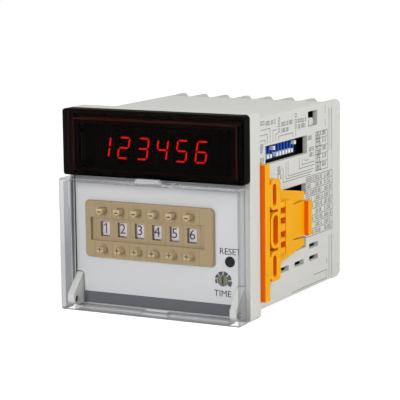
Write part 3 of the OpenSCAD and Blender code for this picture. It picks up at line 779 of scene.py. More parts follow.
@dataclass(frozen=True)
class Layered(Finish):
    """Stacked sheets or wound wire, seen as fine parallel lines."""

    gap: Colour
    lines_per_mm: float
    metallic: float
    lines_per_scale: float = 3.0
    waver: float = 0.4
    line_depth: float = 0.05 * MM
    line_share: float = 0.7
    roughness: float = 0.4

    def dress(self, shader: Shader) -> None:
        """Add a band pattern across the stack.

        Args:
            shader: The stack's shader.
        """
        scale = self.lines_per_mm / MM / self.lines_per_scale
        values = {"Scale": scale, "Distortion": self.waver}
        bands = shader.add("ShaderNodeTexWave", values, bands_direction="X", wave_profile="SIN")
        shader.join(shader.place, bands.inputs["Vector"])
        shader.colour_by(shader.mix(bands.outputs["Fac"], self.gap, self.colour))
        shader.bump_by(bands.outputs["Fac"], self.line_depth, self.line_share)
        shader.set(Metallic=self.metallic, Roughness=self.roughness)


CASE_GREY = MouldedPlastic("case_grey", "case_grey", ink(214, 214, 210), 0.65, specular=0.04)
ZINC_STEEL = PlatedMetal("zinc_steel", "zinc_steel", ink(205, 205, 200))
BRASS_PLATE = PlatedMetal("brass_plate", "brass_plate", ink(214, 178, 104))
# The window's near-black wall tint is painted shade.
SMOKED_WINDOW = SmokedAcrylic(
    "smoked_window", "smoked_window", (0.105, 0.056, 0.052), wall_tint=(0.0005, 0.0005, 0.0005),
    shade=(0.18, 0.14, 0.135),
)
CLEAR_COVER = ClearPolycarbonate("clear_cover", "clear_cover", (0.955, 0.957, 0.96))
FASCIA_SILVER = PrintedFilm("fascia_silver", "fascia_silver", ink(212, 212, 213))
LED_MODULE = MouldedPlastic("led_module", "led_module", ink(30, 28, 28), 0.5)
BLACK_PLASTIC = MouldedPlastic("black_plastic", "black_plastic", ink(9, 9, 10), specular=0.15)
BLUE_PLASTIC = MouldedPlastic("blue_plastic", "blue_plastic", ink(8, 75, 170), 0.4, specular=0.15)
PALE_PLASTIC = MouldedPlastic("pale_plastic", "pale_plastic", ink(236, 236, 230), 0.4)
GREY_PLASTIC = MouldedPlastic("grey_plastic", "pale_plastic", ink(206, 206, 203), 0.4)
OLIVE_PLASTIC = MouldedPlastic("olive_plastic", "pale_plastic", ink(112, 114, 88))
# The bracket's forward colour is painted shade on its forward-looking faces.
BRACKET_ORANGE = TwoTonePlastic(
    "bracket_orange", "bracket_orange", ink(243, 172, 0), forward_colour=ink(244, 112, 0)
)
SWITCH_TAN = MouldedPlastic("switch_tan", "switch_tan", ink(165, 144, 107), 0.42)
BUTTON_TAN = MouldedPlastic("button_tan", "switch_tan", ink(196, 174, 133), 0.4)
WHEEL_WHITE = MouldedPlastic("wheel_white", "wheel_white", ink(213, 206, 208), 0.4)
BOARD_GREEN = CircuitBoard("circuit_board", "circuit_board", ink(8, 26, 17), ink(16, 44, 28))
CORE_STEEL = Layered("core_steel", "core_steel", ink(150, 150, 152), ink(70, 66, 62), 2.0, 0.8)
COPPER_WINDING = Layered(
    "copper_winding", "copper_winding", ink(200, 120, 60), ink(90, 45, 20), 3.0, 0.9
)
LIT_RED = LitSegment("lit_red", "led_module", (1.0, 0.015, 0.02), 6.6)
UNLIT_RED = MouldedPlastic("unlit_red", "led_module", ink(60, 36, 34), 0.5)
STRIPE_GREY = ScreenInk("stripe_grey", "fascia_silver", ink(96, 98, 102))
# This dark ink prints the control words and also lays the painted shadow in the fascia's joint.
DARK_INK_AND_SHADOW = ScreenInk("dark_ink_and_shadow", "fascia_silver", ink(14, 14, 16))
SCALE_INK = ScreenInk("scale_ink", "fascia_silver", ink(74, 72, 82))
LABEL_INK = ScreenInk("label_ink", "case_grey", ink(122, 120, 112))
MASK_BROWN = ScreenInk("mask_brown", "led_module", ink(132, 88, 78))
DIGIT_INK = ScreenInk("digit_ink", "wheel_white", ink(44, 38, 58))
# Painted shade: the dark minus and plus stand for the shade in the buttons' engraved signs.
MINUS_SHADE_INK = ScreenInk("minus_shade_ink", "switch_tan", ink(48, 36, 20))
PLUS_SHADE_INK = ScreenInk("plus_shade_ink", "switch_tan", ink(122, 102, 66))

NODE_FINISH: dict[str, Finish] = {
    "case": CASE_GREY,
    "terminal_block": CASE_GREY,
    "terminal_screws": ZINC_STEEL,
    "terminal_clamps": BRASS_PLATE,
    "display_window": SMOKED_WINDOW,
    "display_board": BOARD_GREEN,
    "led_digits": LED_MODULE,
    "front_panel": FASCIA_SILVER,
    "clear_cover": CLEAR_COVER,
    "control_board": BOARD_GREEN,
    "reset_switch": BLACK_PLASTIC,
    "reset_button": BLACK_PLASTIC,
    "trimmer_body": BLUE_PLASTIC,
    "trimmer_rotor": OLIVE_PLASTIC,
    "main_board": BOARD_GREEN,
    "dip_body": BLUE_PLASTIC,
    "slide_switch_body": BLACK_PLASTIC,
    "slide_switch_lever": GREY_PLASTIC,
    "power_board": BOARD_GREEN,
    "transformer_core": CORE_STEEL,
    "transformer_coil": COPPER_WINDING,
    "relay": BLACK_PLASTIC,
    "bracket_right": BRACKET_ORANGE,
    "bracket_left": BRACKET_ORANGE,
    "switch_end_left": SWITCH_TAN,
    "switch_end_right": SWITCH_TAN,
    "switch_module": SWITCH_TAN,
    "digit_wheel": WHEEL_WHITE,
    "minus_button": BUTTON_TAN,
    "plus_button": BUTTON_TAN,
    "dip_lever": PALE_PLASTIC,
}


class Palette:
    """Finishes that are built once and shared by all their pieces."""

    def __init__(self) -> None:
        """Start with nothing built."""
        self._built: dict[str, bpy.types.Material] = {}

    def get(self, finish: Finish) -> bpy.types.Material:
        """Return a finish's material, building it at first use.

        Args:
            finish: The finish.

        Returns:
            Its material.
        """
        if finish.name not in self._built:
            self._built[finish.name] = finish.material()
        return self._built[finish.name]


def family(node: str) -> str:
    """Return a node's name without its number, such as dip_lever for dip_lever_3."""
    stem, _, last = node.rpartition("_")
    return stem if last.isdigit() else node


def front_of(node: str) -> Vector:
    """Find the middle of a CAD node's front."""
    low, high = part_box(node)
    return Vector(((low.x + high.x) / 2, low.y, (low.z + high.z) / 2))


def as_object(name: str, shape: BMesh, material: bpy.types.Material) -> bpy.types.Object:
    """Turn a shape into an object of the scene.

    Args:
        name: The object's name.
        shape: Its mesh in the frame's own place, freed here.
        material: Its material.

    Returns:
        The object.
    """
    mesh = bpy.data.meshes.new(name)
    shape.to_mesh(mesh)
    shape.free()
    mesh.materials.append(material)
    made = bpy.data.objects.new(name, mesh)
    bpy.context.scene.collection.objects.link(made)
    return made


@dataclass
class Workshop:
    """Turns shapes into finished pieces that ride on the frame's bodies."""

    palette: Palette = field(default_factory=Palette)

    def piece(self, name: str, shape: BMesh, finish: Finish, body: str) -> bpy.types.Object:
        """Make a piece from a shape and let it ride on a body.

        Args:
            name: The piece's name.
            shape: Its mesh in the frame's own place, freed here.
            finish: Its finish.
            body: The body that carries it.

        Returns:
            The new object.
        """
        piece = as_object(name, shape, self.palette.get(finish))
        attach(piece, body)
        LOG.info("piece %s: %d faces on %s", name, len(piece.data.polygons), body)
        return piece


def bar(shape: BMesh, low: Vector, high: Vector) -> None:
    """Add a rectangular bar to a shape.

    Args:
        shape: The shape that gets it.
        low: The bar's lowest corner.
        high: The bar's highest corner.
    """
    centre = Matrix.Translation((low + high) / 2)
    extent = Matrix.Diagonal((*(high - low), 1.0))
    bmesh.ops.create_cube(shape, size=1.0, matrix=centre @ extent)


def thicken(shape: BMesh, faces: list[bmesh.types.BMFace], depth: Vector) -> None:
    """Extrude flat faces of a shape into closed solids.

    Args:
        shape: The shape that holds them.
        faces: The faces.
        depth: How far and which way they go.
    """
    corners = {vert for face in faces for vert in face.verts}
    made = bmesh.ops.extrude_face_region(shape, geom=faces)
    moved = [g for g in made["geom"] if isinstance(g, bmesh.types.BMVert)]
    bmesh.ops.translate(shape, verts=moved, vec=depth)
    around = {face for vert in (*corners, *moved) for face in vert.link_faces}
    bmesh.ops.recalc_face_normals(shape, faces=list(around))


def prism(shape: BMesh, outline: list[Vector], depth: Vector) -> None:
    """Add a flat outline, extruded by a vector, to a shape."""
    thicken(shape, [shape.faces.new([shape.verts.new(p) for p in outline])], depth)


def letters(shape: BMesh, text: str, height: float, thickness: float, place: Matrix) -> None:
    """Add raised letters to a shape, centred on their place.

    Args:
        shape: The shape that gets them.
        text: The characters.
        height: Height of a capital.
        thickness: Height of the letters above their ground.
        place: Matrix from the letters' own plane, which faces +Z, to the frame.
    """
    curve = bpy.data.curves.new("letters", "FONT")
    curve.body = text
    curve.align_x = "CENTER"
    curve.align_y = "CENTER"
    curve.resolution_u = LETTER_STEPS
    curve.extrude = 1.0
    holder = bpy.data.objects.new("letters", curve)
    mesh = bpy.data.meshes.new_from_object(holder)
    scale = height / CAPITAL_SHARE
    mesh.transform(place @ Matrix.Diagonal((scale, scale, thickness, 1.0)))
    shape.from_mesh(mesh)
    bpy.data.objects.remove(holder)
    bpy.data.curves.remove(curve)
    bpy.data.meshes.remove(mesh)


class Seam(Enum):
    """Side on which a moulding meets its neighbour and keeps its sharp edges."""

    NONE = 0
    LEFT = -1
    RIGHT = 1


@dataclass(frozen=True)
class SoftEdges:
    """How far the outer edges of a moulded node are rounded."""

    width: float
    seam: Seam = Seam.NONE
    segments: int = 3
    least_angle: float = math.radians(35)
    flat_angle: float = math.radians(0.5)
    merge_distance: float = 1e-6
    room_share: float = 2.2

    def shape(self, node: bpy.types.Object) -> BMesh:
        """Copy a node's mesh with its free outer edges rounded.

        Args:
            node: The CAD node, which stays as it is.

        Returns:
            The rounded copy.
        """
        shape = bmesh.new()
        shape.from_mesh(node.data)
        bmesh.ops.remove_doubles(shape, verts=shape.verts, dist=self.merge_distance)
        bmesh.ops.dissolve_limit(
            shape, angle_limit=self.flat_angle, verts=shape.verts, edges=shape.edges
        )
        side = max(v.co.x * self.seam.value for v in shape.verts)
        edges = [e for e in shape.edges if self._is_free(e) and not self._on_seam(e, side)]
        bmesh.ops.bevel(
            shape, geom=edges, offset=self.width, offset_type="OFFSET", segments=self.segments,
            profile=0.5, affect="EDGES", clamp_overlap=True, material=-1,
        )
        return shape

    def _on_seam(self, edge: bmesh.types.BMEdge, side: float) -> bool:
        """Tell whether an edge lies on the side where the node meets its neighbour."""
        reach = min(v.co.x * self.seam.value for v in edge.verts)
        return self.seam is not Seam.NONE and reach > side - self.width

    def _is_free(self, edge: bmesh.types.BMEdge) -> bool:
        """Tell whether an edge is an outer corner with room for the rounding on both faces.

        Args:
            edge: The edge.

        Returns:
            Whether it can be rounded.
        """
        if len(edge.link_faces) != 2 or not edge.is_convex:
            return False
        if edge.calc_face_angle() < self.least_angle:
            return False
        least = self.room_share * self.width
        return all(self._room(edge, face) > least for face in edge.link_faces)

    @staticmethod
    def _room(edge: bmesh.types.BMEdge, face: bmesh.types.BMFace) -> float:
        """Measure how far a face reaches from one of its edges.

        Args:
            edge: The edge.
            face: The face.

        Returns:
            The distance in metres.
        """
        start = edge.verts[0].co
        along = (edge.verts[1].co - start).normalized()
        offsets = ((v.co - start) for v in face.verts)
        return max((o - along * o.dot(along)).length for o in offsets)


NODE_EDGES: dict[str, SoftEdges] = {
    "case": SoftEdges(0.3 * MM),
    "terminal_block": SoftEdges(0.2 * MM),
    "bracket_right": SoftEdges(0.45 * MM),
    "bracket_left": SoftEdges(0.45 * MM),
    "front_panel": SoftEdges(0.15 * MM),
    "switch_end_left": SoftEdges(0.3 * MM, Seam.RIGHT),
    "switch_end_right": SoftEdges(0.3 * MM, Seam.LEFT),
    "minus_button": SoftEdges(0.18 * MM),
    "plus_button": SoftEdges(0.18 * MM),
    "dip_lever": SoftEdges(0.2 * MM),
    "dip_body": SoftEdges(0.1 * MM),
    "slide_switch_lever": SoftEdges(0.25 * MM),
    "reset_button": SoftEdges(0.3 * MM),
    "trimmer_rotor": SoftEdges(0.15 * MM),
    "digit_wheel": SoftEdges(0.15 * MM),
}


@dataclass
class CadDressing:
    """Finishes on every CAD node, with soft edges where a moulding shows them."""

    nodes: NodeMap
    shop: Workshop

    def dress(self) -> None:
        """Dress each node, replacing those whose edges are rounded."""
        for name in sorted(self.nodes):
            finish = NODE_FINISH[family(name)]
            self._paint(self.nodes[name], finish)
            if family(name) in NODE_EDGES:
                self._soften(name, NODE_EDGES[family(name)], finish)

    def _paint(self, node: bpy.types.Object, finish: Finish) -> None:
        """Give a CAD node its finish.

        Args:
            node: The node.
            finish: Its finish.
        """
        node.data.materials.clear()
        node.data.materials.append(self.shop.palette.get(finish))

    def _soften(self, name: str, edges: SoftEdges, finish: Finish) -> None:
        """Stand a rounded copy in for a CAD node.

        Args:
            name: The node's name.
            edges: How its edges are rounded.
            finish: Its finish.
        """
        body = self.nodes[name]["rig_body"]
        piece = self.shop.piece(f"{name}_moulding", edges.shape(self.nodes[name]), finish, body)
        self._shade(piece)
        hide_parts(name)

    @staticmethod
    def _shade(piece: bpy.types.Object) -> None:
        """Shade a piece smoothly over its rounded edges and flat over its faces.

        Args:
            piece: The piece, which loses the normals of its CAD node.
        """
        mesh = piece.data
        loaded = mesh.attributes.get("custom_normal")
        if loaded is not None:
            mesh.attributes.remove(loaded)
        mesh.shade_smooth()
        mesh.set_sharp_from_angle(angle=SHARP_ANGLE)
        modifier = piece.modifiers.new("even_shading", "WEIGHTED_NORMAL")
        modifier.keep_sharp = True


class Segment(Enum):
    """Light bars of a seven-segment digit, in the usual order."""

    TOP = "a"
    UPPER_RIGHT = "b"
    LOWER_RIGHT = "c"
    BOTTOM = "d"
    LOWER_LEFT = "e"
    UPPER_LEFT = "f"
    MIDDLE = "g"


SEGMENTS_OF_DIGIT: dict[int, str] = {
    1: "bc", 2: "abged", 3: "abgcd", 4: "fgbc", 5: "afgcd", 6: "afgedc",
}


@dataclass
class Display:
    """Six slanted seven-segment digits behind the smoked window."""

    shop: Workshop
    pitch: float = 7.68 * MM
    width: float = 3.9 * MM
    height: float = 7.3 * MM
    bar_width: float = 0.55 * MM
    bar_gap: float = 0.26 * MM
    slant: float = math.radians(9)
    thickness: float = 0.1 * MM
    window_wall: float = 1.6 * MM
    mask_gap: float = 0.05 * MM
    mask_side: float = 3.3 * MM
    mask_foot: float = 1.75 * MM
    mask_head: float = 3.1 * MM
    mask_width: float = 2.2 * MM
    mask_foot_width: float = 0.9 * MM

    def build(self) -> None:
        """Make the lit bars of the count 1 to 6, the dark bars between them and the mask."""
        face = front_of("led_digits")
        lit, unlit = bmesh.new(), bmesh.new()
        middle = (len(SEGMENTS_OF_DIGIT) - 1) / 2
        for place, digit in enumerate(sorted(SEGMENTS_OF_DIGIT)):
            centre = face + Vector(((place - middle) * self.pitch, 0, 0))
            for segment in Segment:
                shape = lit if segment.value in SEGMENTS_OF_DIGIT[digit] else unlit
                prism(shape, self._bar_outline(segment, centre), Vector((0, -self.thickness, 0)))
        self.shop.piece("lit_segments", lit, LIT_RED, CASE)
        self.shop.piece("unlit_segments", unlit, UNLIT_RED, CASE)
        self._mask()

    def _mask(self) -> None:
        """Make the brown frame that lines the window's inside."""
        low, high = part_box("display_window")
        front = low.y + self.window_wall + self.mask_gap
        back = front + self.thickness
        x, foot, head = high.x - self.mask_side, low.z + self.mask_foot, high.z - self.mask_head
        lower, upper = foot + self.mask_foot_width, head - self.mask_width
        shape = bmesh.new()
        bar(shape, Vector((-x, front, foot)), Vector((x, back, lower)))
        bar(shape, Vector((-x, front, upper)), Vector((x, back, head)))
        for left in (-x, x - self.mask_width):
            bar(shape, Vector((left, front, lower)), Vector((left + self.mask_width, back, upper)))
        self.shop.piece("display_mask", shape, MASK_BROWN, CASE)

    def _bar_outline(self, segment: Segment, centre: Vector) -> list[Vector]:
        """Work out the six corners of a light bar.

        Args:
            segment: Which bar.
            centre: Middle of the digit on its module's face.

        Returns:
            The bar's corners, slanted, on the module's face.
        """
        w, h = self.width / 2, self.height / 2
        ends = {
            Segment.TOP: ((-w, h), (w, h)),
            Segment.MIDDLE: ((-w, 0), (w, 0)),
            Segment.BOTTOM: ((-w, -h), (w, -h)),
            Segment.UPPER_LEFT: ((-w, 0), (-w, h)),
            Segment.UPPER_RIGHT: ((w, 0), (w, h)),
            Segment.LOWER_LEFT: ((-w, -h), (-w, 0)),
            Segment.LOWER_RIGHT: ((w, -h), (w, 0)),
        }
        start, end = (Vector(p) for p in ends[segment])
        along = (end - start).normalized()
        across = Vector((-along.y, along.x)) * self.bar_width / 2
        tip = along * self.bar_gap
        taper = along * (self.bar_gap + self.bar_width / 2)
        corners = [
            start + tip, start + taper - across, end - taper - across,
            end - tip, end - taper + across, start + taper + across,
        ]
        lean = math.tan(self.slant)
        return [centre + Vector((c.x + c.y * lean, 0, c.y)) for c in corners]


@dataclass
class FasciaPrint:
    """Stripe, control words and trimmer scale printed on the fascia; painted shadow in its joint.
    """

    shop: Workshop
    thickness: float = 0.04 * MM
    stripe_height: float = 4.2 * MM
    stripe_rise: float = 0.05 * MM
    lug_width: float = 3.0 * MM
    joint_front: float = -7.7 * MM
    joint_gap: float = 0.15 * MM
    joint_width: float = 0.5 * MM
    joint_foot: float = -26.0 * MM
    word_height: float = 2.3 * MM
    reset_word_shift: float = 0.1 * MM
    reset_word_rise: float = 3.5 * MM
    time_word_drop: float = 4.6 * MM
    scale_inner: float = 2.15 * MM
    scale_wedges: int = 6
    scale_first: float = 0.75 * MM
    scale_growth: float = 0.16 * MM
    scale_from: float = math.radians(205)
    scale_step: float = math.radians(41)
    wedge_angle: float = math.radians(34)
    wedge_steps: int = 6
    front: float = field(init=False, default=0.0)

    def build(self) -> None:
        """Print everything on the fascia's front, and paint shadow in the joint along its left
        edge.
        """
        low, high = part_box("front_panel")
        self.front = low.y
        foot = low.z + self.stripe_rise
        left, right = low.x + self.lug_width, high.x - self.lug_width
        head = foot + self.stripe_height
        self._line("fascia_stripe", STRIPE_GREY, self.front, (left, foot), (right, head))
        # Painted shadow: a dark strip on the bezel beside the fascia's left edge stands for the
        # joint's shade.
        edge = low.x - self.joint_gap
        start = (edge - self.joint_width, self.joint_foot)
        self._line("fascia_joint_shadow", DARK_INK_AND_SHADOW, self.joint_front, start, (edge, high.z))
        self._words()
        self._scale()

    def _line(self, name: str, finish: Finish, front: float, low: Span, high: Span) -> None:
        """Lay a plain rectangle, for print and for painted shadow, on a face that looks forward.

        Args:
            name: The piece's name.
            finish: Its ink, painted shadow for the joint.
            front: Where the face lies from front to back.
            low: The rectangle's lower left corner.
            high: The rectangle's upper right corner.
        """
        shape = bmesh.new()
        bar(
            shape, Vector((low[0], front - self.thickness, low[1])),
            Vector((high[0], front + self.thickness, high[1])),
        )
        self.shop.piece(name, shape, finish, CASE)

    def _words(self) -> None:
        """Print the names of the two controls."""
        shape = bmesh.new()
        for text, node, side, rise in (
            ("RESET", "reset_button", self.reset_word_shift, self.reset_word_rise),
            ("TIME", "trimmer_rotor", 0.0, -self.time_word_drop),
        ):
            spot = front_of(node) + Vector((side, 0, rise))
            spot.y = self.front
            place = Matrix.Translation(spot) @ TO_FRONT
            letters(shape, text, self.word_height, self.thickness, place)
        self.shop.piece("control_words", shape, DARK_INK_AND_SHADOW, CASE)

    def _scale(self) -> None:
        """Print the fan of wedges round the trimmer, growing clockwise."""
        centre = front_of("trimmer_rotor")
        centre.y = self.front
        shape = bmesh.new()
        for k in range(self.scale_wedges):
            start = self.scale_from - k * self.scale_step
            self._fan(shape, centre, start, self.scale_first + k * self.scale_growth)
        thicken(shape, shape.faces[:], Vector((0, -self.thickness, 0)))
        self.shop.piece("trimmer_scale", shape, SCALE_INK, CASE)

    def _fan(self, shape: BMesh, centre: Vector, start: float, length: float) -> None:
        """Add one flat wedge by turning a short line about the trimmer's axis.

        Args:
            shape: The shape that gets it.
            centre: The axis on the fascia's front.
            start: Angle of the wedge's first side.
            length: How far it reaches outwards.
        """
        ray = Vector((math.cos(start), 0, math.sin(start)))
        radii = (self.scale_inner, self.scale_inner + length)
        ends = [shape.verts.new(centre + ray * r) for r in radii]
        line = shape.edges.new(ends)
        bmesh.ops.spin(
            shape, geom=[*ends, line], cent=centre, axis=(0, 1, 0), angle=self.wedge_angle,
            steps=self.wedge_steps,
        )


@dataclass
class ThumbwheelMarks:
    """Numbers on the digit wheels, and painted shade of the engraved signs on the push buttons."""

    shop: Workshop
    nodes: NodeMap
    flats: int = 10
    digit_height: float = 3.7 * MM
    digit_shift: float = -0.5 * MM
    thickness: float = 0.03 * MM
    one_outline: tuple[Span, ...] = (
        (0.0, -0.5), (0.12, -0.5), (0.12, 0.5), (0.03, 0.5), (-0.2, 0.32), (-0.2, 0.2), (0.0, 0.33),
    )
    minus_strokes: tuple[Span, ...] = ((1.5 * MM, 0.42 * MM),)
    plus_strokes: tuple[Span, ...] = ((1.9 * MM, 0.44 * MM), (0.44 * MM, 1.9 * MM))

    def build(self) -> None:
        """Mark every wheel and button."""
        signs = (("minus", MINUS_SHADE_INK, self.minus_strokes), ("plus", PLUS_SHADE_INK, self.plus_strokes))
        for number in self._numbers():
            self._wheel(number)
            for sign, finish, strokes in signs:
                self._sign(f"{sign}_sign_{number}", f"{sign}_button_{number}", finish, strokes)

    def _numbers(self) -> Iterator[int]:
        """Count the switch modules.

        Returns:
            Their numbers from 1.
        """
        number = 1
        while f"digit_wheel_{number}" in self.nodes:
            yield number
            number += 1

    def _wheel(self, number: int) -> None:
        """Print ten digits round a wheel, its own number at the front.

        Args:
            number: The wheel's number.
        """
        low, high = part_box(f"digit_wheel_{number}")
        axis = (low + high) / 2
        axis.x = front_of(f"switch_module_{number}").x + self.digit_shift
        outwards = Matrix.Translation((0, low.y - axis.y, 0)) @ TO_FRONT
        shape = bmesh.new()
        for k in range(self.flats):
            turn = Matrix.Rotation(math.radians(360 / self.flats * k), 4, "X")
            place = Matrix.Translation(axis) @ turn @ outwards
            digit = (number + k) % self.flats
            if digit == 1:
                self._one(shape, place)
            else:
                letters(shape, str(digit), self.digit_height, self.thickness, place)
        self.shop.piece(f"wheel_numbers_{number}", shape, DIGIT_INK, f"digit_wheel_{number}")

    def _one(self, shape: BMesh, place: Matrix) -> None:
        """Print a figure one with a flag.

        Args:
            shape: The shape that gets it.
            place: Matrix from the figure's own plane, which faces +Z, to the frame.
        """
        sized = place @ Matrix.Diagonal((self.digit_height, self.digit_height, self.thickness, 1.0))
        outline = [sized @ Vector((x, y, -1.0)) for x, y in self.one_outline]
        prism(shape, outline, sized.to_3x3() @ Vector((0.0, 0.0, 2.0)))

    def _sign(self, name: str, button: str, finish: Finish, strokes: tuple[Span, ...]) -> None:
        """Paint the shade of an engraved sign on a button.

        Args:
            name: The piece's name.
            button: The button's node and body.
            finish: The sign's painted shade.
            strokes: Width and height of each of its strokes.
        """
        shape = bmesh.new()
        front = front_of(button)
        for across, up in strokes:
            half = Vector((across / 2, self.thickness, up / 2))
            bar(shape, front - half, front + half)
        self.shop.piece(name, shape, finish, button)


@dataclass(frozen=True)
class NoteColumn:
    """Column of notes whose rows end unevenly, in millimetres."""

    indent: float
    margin: float
    cycle: int
    step: float

    def ends(self, start: float, end: float, row: int) -> Span:
        """Find where a row of notes starts and ends between the column's sides."""
        return start + self.indent, end - self.margin - row % self.cycle * self.step


@dataclass
class SideLabel:
    """Wiring and setting notes on the right-hand wall, as lines, frames and made-up signs.

    Places on the wall are given in millimetres, backwards and upwards.
    """

    shop: Workshop
    wall: float = 33.4 * MM
    thickness: float = 0.02 * MM
    line: float = 0.24 * MM
    sign_pitch: float = 0.72
    sign_share: float = 0.66
    sign_height: float = 1.2
    sign_mix: tuple[int, int] = (7, 3)
    signs: tuple[tuple[tuple[Span, Span], ...], ...] = (
        (((1.0, -0.5), (1.0, 0.5)), ((0.0, -0.5), (1.0, -0.5))),
        (((0.0, -0.5), (1.0, -0.5)), ((0.5, -0.5), (0.5, 0.5))),
        (((0.0, -0.5), (0.0, 0.5)), ((0.0, 0.5), (1.0, 0.5)), ((1.0, -0.5), (1.0, 0.5))),
        (((1.0, -0.5), (1.0, 0.5)), ((0.0, 0.5), (1.0, 0.5)), ((0.0, -0.5), (1.0, -0.5))),
        (((0.0, 0.5), (1.0, 0.5)), ((0.0, 0.0), (1.0, 0.0)), ((0.0, -0.5), (1.0, -0.5))),
    )
    word_lengths: tuple[int, ...] = (5, 4, 6, 3, 5, 2)
    leads: tuple[tuple[Span, ...], ...] = (
        ((6.0, 29.0), (13.3, 29.0), (13.3, 24.0)),
        ((5.4, 27.2), (11.2, 27.2), (11.2, 24.0)),
        ((5.4, 25.3), (9.4, 25.3), (9.4, 24.0)),
        ((15.6, 24.0), (15.6, 28.0), (18.4, 28.0)),
        ((17.9, 24.0), (17.9, 26.4), (19.4, 26.4)),
        ((20.3, 24.0), (20.3, 25.4), (32.2, 25.4), (32.2, 24.0)),
        ((34.6, 24.0), (34.6, 26.4)),
        ((23.8, 13.4), (23.8, 8.4), (47.0, 8.4)),
        ((26.2, 15.4), (26.2, 9.3), (48.4, 9.3)),
        ((28.0, 15.4), (28.0, 10.2), (49.6, 10.2)),
        ((37.6, 15.4), (37.6, 11.6), (50.6, 11.6)),
        ((40.0, 15.4), (40.0, 12.8), (50.6, 12.8)),
        ((42.4, 15.0), (42.4, 14.0), (45.6, 14.0)),
        ((45.6, 28.4), (45.6, 26.8)),
        ((61.8, -25.6), (61.8, -27.4)),
        ((50.0, -29.9), (61.8, -29.9), (61.8, -32.2)),
        ((31.0, -33.0), (61.8, -33.0)),
        ((60.6, 32.4), (60.6, 29.8)),
        ((60.6, 27.4), (60.6, 24.8)),
    )
    notes: tuple[tuple[float, float, float], ...] = (
        (9.8, 18.4, 31.0), (22.6, 32.4, 29.4), (22.6, 29.0, 27.2), (36.4, 44.0, 29.1),
        (36.4, 44.0, 27.1), (45.0, 49.4, 21.9), (46.2, 50.8, 17.6), (46.2, 50.8, 15.6),
        (5.2, 8.6, 23.4), (5.2, 8.6, 21.8), (5.2, 8.6, 18.6), (5.2, 8.6, 17.0),
        (19.0, 22.6, 14.0), (19.0, 22.6, 12.4), (19.0, 22.6, 10.8),
    )
    icons: tuple[Span, ...] = (
        (6.2, 31.4), (8.0, 31.4), (20.6, 31.3), (20.6, 29.4), (20.6, 27.4), (34.6, 31.4),
        (34.6, 29.3), (34.6, 27.4),
    )
    icon_half: float = 0.6
    table_sides: tuple[float, ...] = (43.4, 51.2, 67.0)
    table_lines: tuple[float, ...] = (7.6, 5.2, 2.7, 0.2, -2.3, -4.8, -7.3, -9.8, -12.3, -14.8)
    table_columns: tuple[NoteColumn, ...] = (
        NoteColumn(0.7, 0.6, 2, 1.5), NoteColumn(0.7, 0.6, 3, 0.7), NoteColumn(0.4, 0.7, 2, 0.7),
    )
    box_sides: Span = (51.8, 62.6)
    box_lines: tuple[float, ...] = (23.3, 20.9, 17.9, 14.9, 11.9, 8.9)
    box_indent: float = 0.7
    box_margin: float = 0.6
    box_cycles: tuple[int, int] = (2, 3)

    def build(self) -> None:
        """Print the whole label as one piece."""
        shape = bmesh.new()
        for lead in self.leads:
            for start, end in zip(lead, lead[1:]):
                self._stroke(shape, start, end)
        for start, end, height in self.notes:
            self._note(shape, start, end, height)
        half = self.icon_half
        for y, z in self.icons:
            self._frame(shape, (y - half, y + half), (z + half, z - half))
        self._frame(shape, self.table_sides, self.table_lines)
        self._frame(shape, self.box_sides, self.box_lines)
        self._fill_table(shape)
        self._fill_box(shape)
        self.shop.piece("side_label", shape, LABEL_INK, CASE)

    def _frame(self, shape: BMesh, sides: tuple[float, ...], lines: tuple[float, ...]) -> None:
        """Rule a frame with its columns and rows.

        Args:
            shape: The shape that gets it.
            sides: Places of its upright lines from the front.
            lines: Heights of its level lines from the top.
        """
        for side in sides:
            self._stroke(shape, (side, lines[-1]), (side, lines[0]))
        for line in lines:
            self._stroke(shape, (sides[0], line), (sides[-1], line))

    def _fill_table(self, shape: BMesh) -> None:
        """Write the table's rows in three columns of notes.

        Args:
            shape: The shape that gets them.
        """
        left, middle, right = self.table_sides
        edges = (left, middle, (middle + right) / 2, right)
        for row, (top, foot) in enumerate(zip(self.table_lines, self.table_lines[1:])):
            for column, start, end in zip(self.table_columns, edges, edges[1:]):
                self._note(shape, *column.ends(start, end, row), (top + foot) / 2)

    def _fill_box(self, shape: BMesh) -> None:
        """Write the box's rows, two lines of signs in each.

        Args:
            shape: The shape that gets them.
        """
        left, right = self.box_sides
        indent, margin = self.box_indent, self.box_margin
        upper, lower = self.box_cycles
        half = (left + right) / 2
        for row, (top, foot) in enumerate(zip(self.box_lines, self.box_lines[1:])):
            quarter = (top - foot) / 4
            self._note(shape, left + indent, half - row % upper * indent, top - quarter)
            self._note(shape, half + margin, right - margin, (top + foot) / 2 + quarter / 2)
            self._note(shape, left + indent, half - indent + row % lower * indent, foot + quarter)

    def _stroke(self, shape: BMesh, start: Span, end: Span) -> None:
        """Add a straight line between two places on the wall.

        Args:
            shape: The shape that gets it.
            start: Where it starts.
            end: Where it ends.
        """
        half = self.line / 2
        low = [min(a, b) * MM - half for a, b in zip(start, end)]
        high = [max(a, b) * MM + half for a, b in zip(start, end)]
        inner, outer = self.wall - self.thickness, self.wall + self.thickness
        bar(shape, Vector((inner, *low)), Vector((outer, *high)))

    def _note(self, shape: BMesh, start: float, end: float, height: float) -> None:
        """Fill a row with made-up signs in words.

        Args:
            shape: The shape that gets them.
            start: Where the row starts along the wall.
            end: Where it ends.
            height: Height of its middle.
        """
        along, up = self.sign_mix
        words, kinds = len(self.word_lengths), len(self.signs)
        place, word, letter = start, int(start + height) % words, 0
        while place + self.sign_pitch <= end:
            if letter == self.word_lengths[word]:
                word, letter = (word + 1) % words, 0
            else:
                kind = (int(along * place + up * height) + letter) % kinds
                self._sign(shape, place, height, kind)
                letter += 1
            place += self.sign_pitch

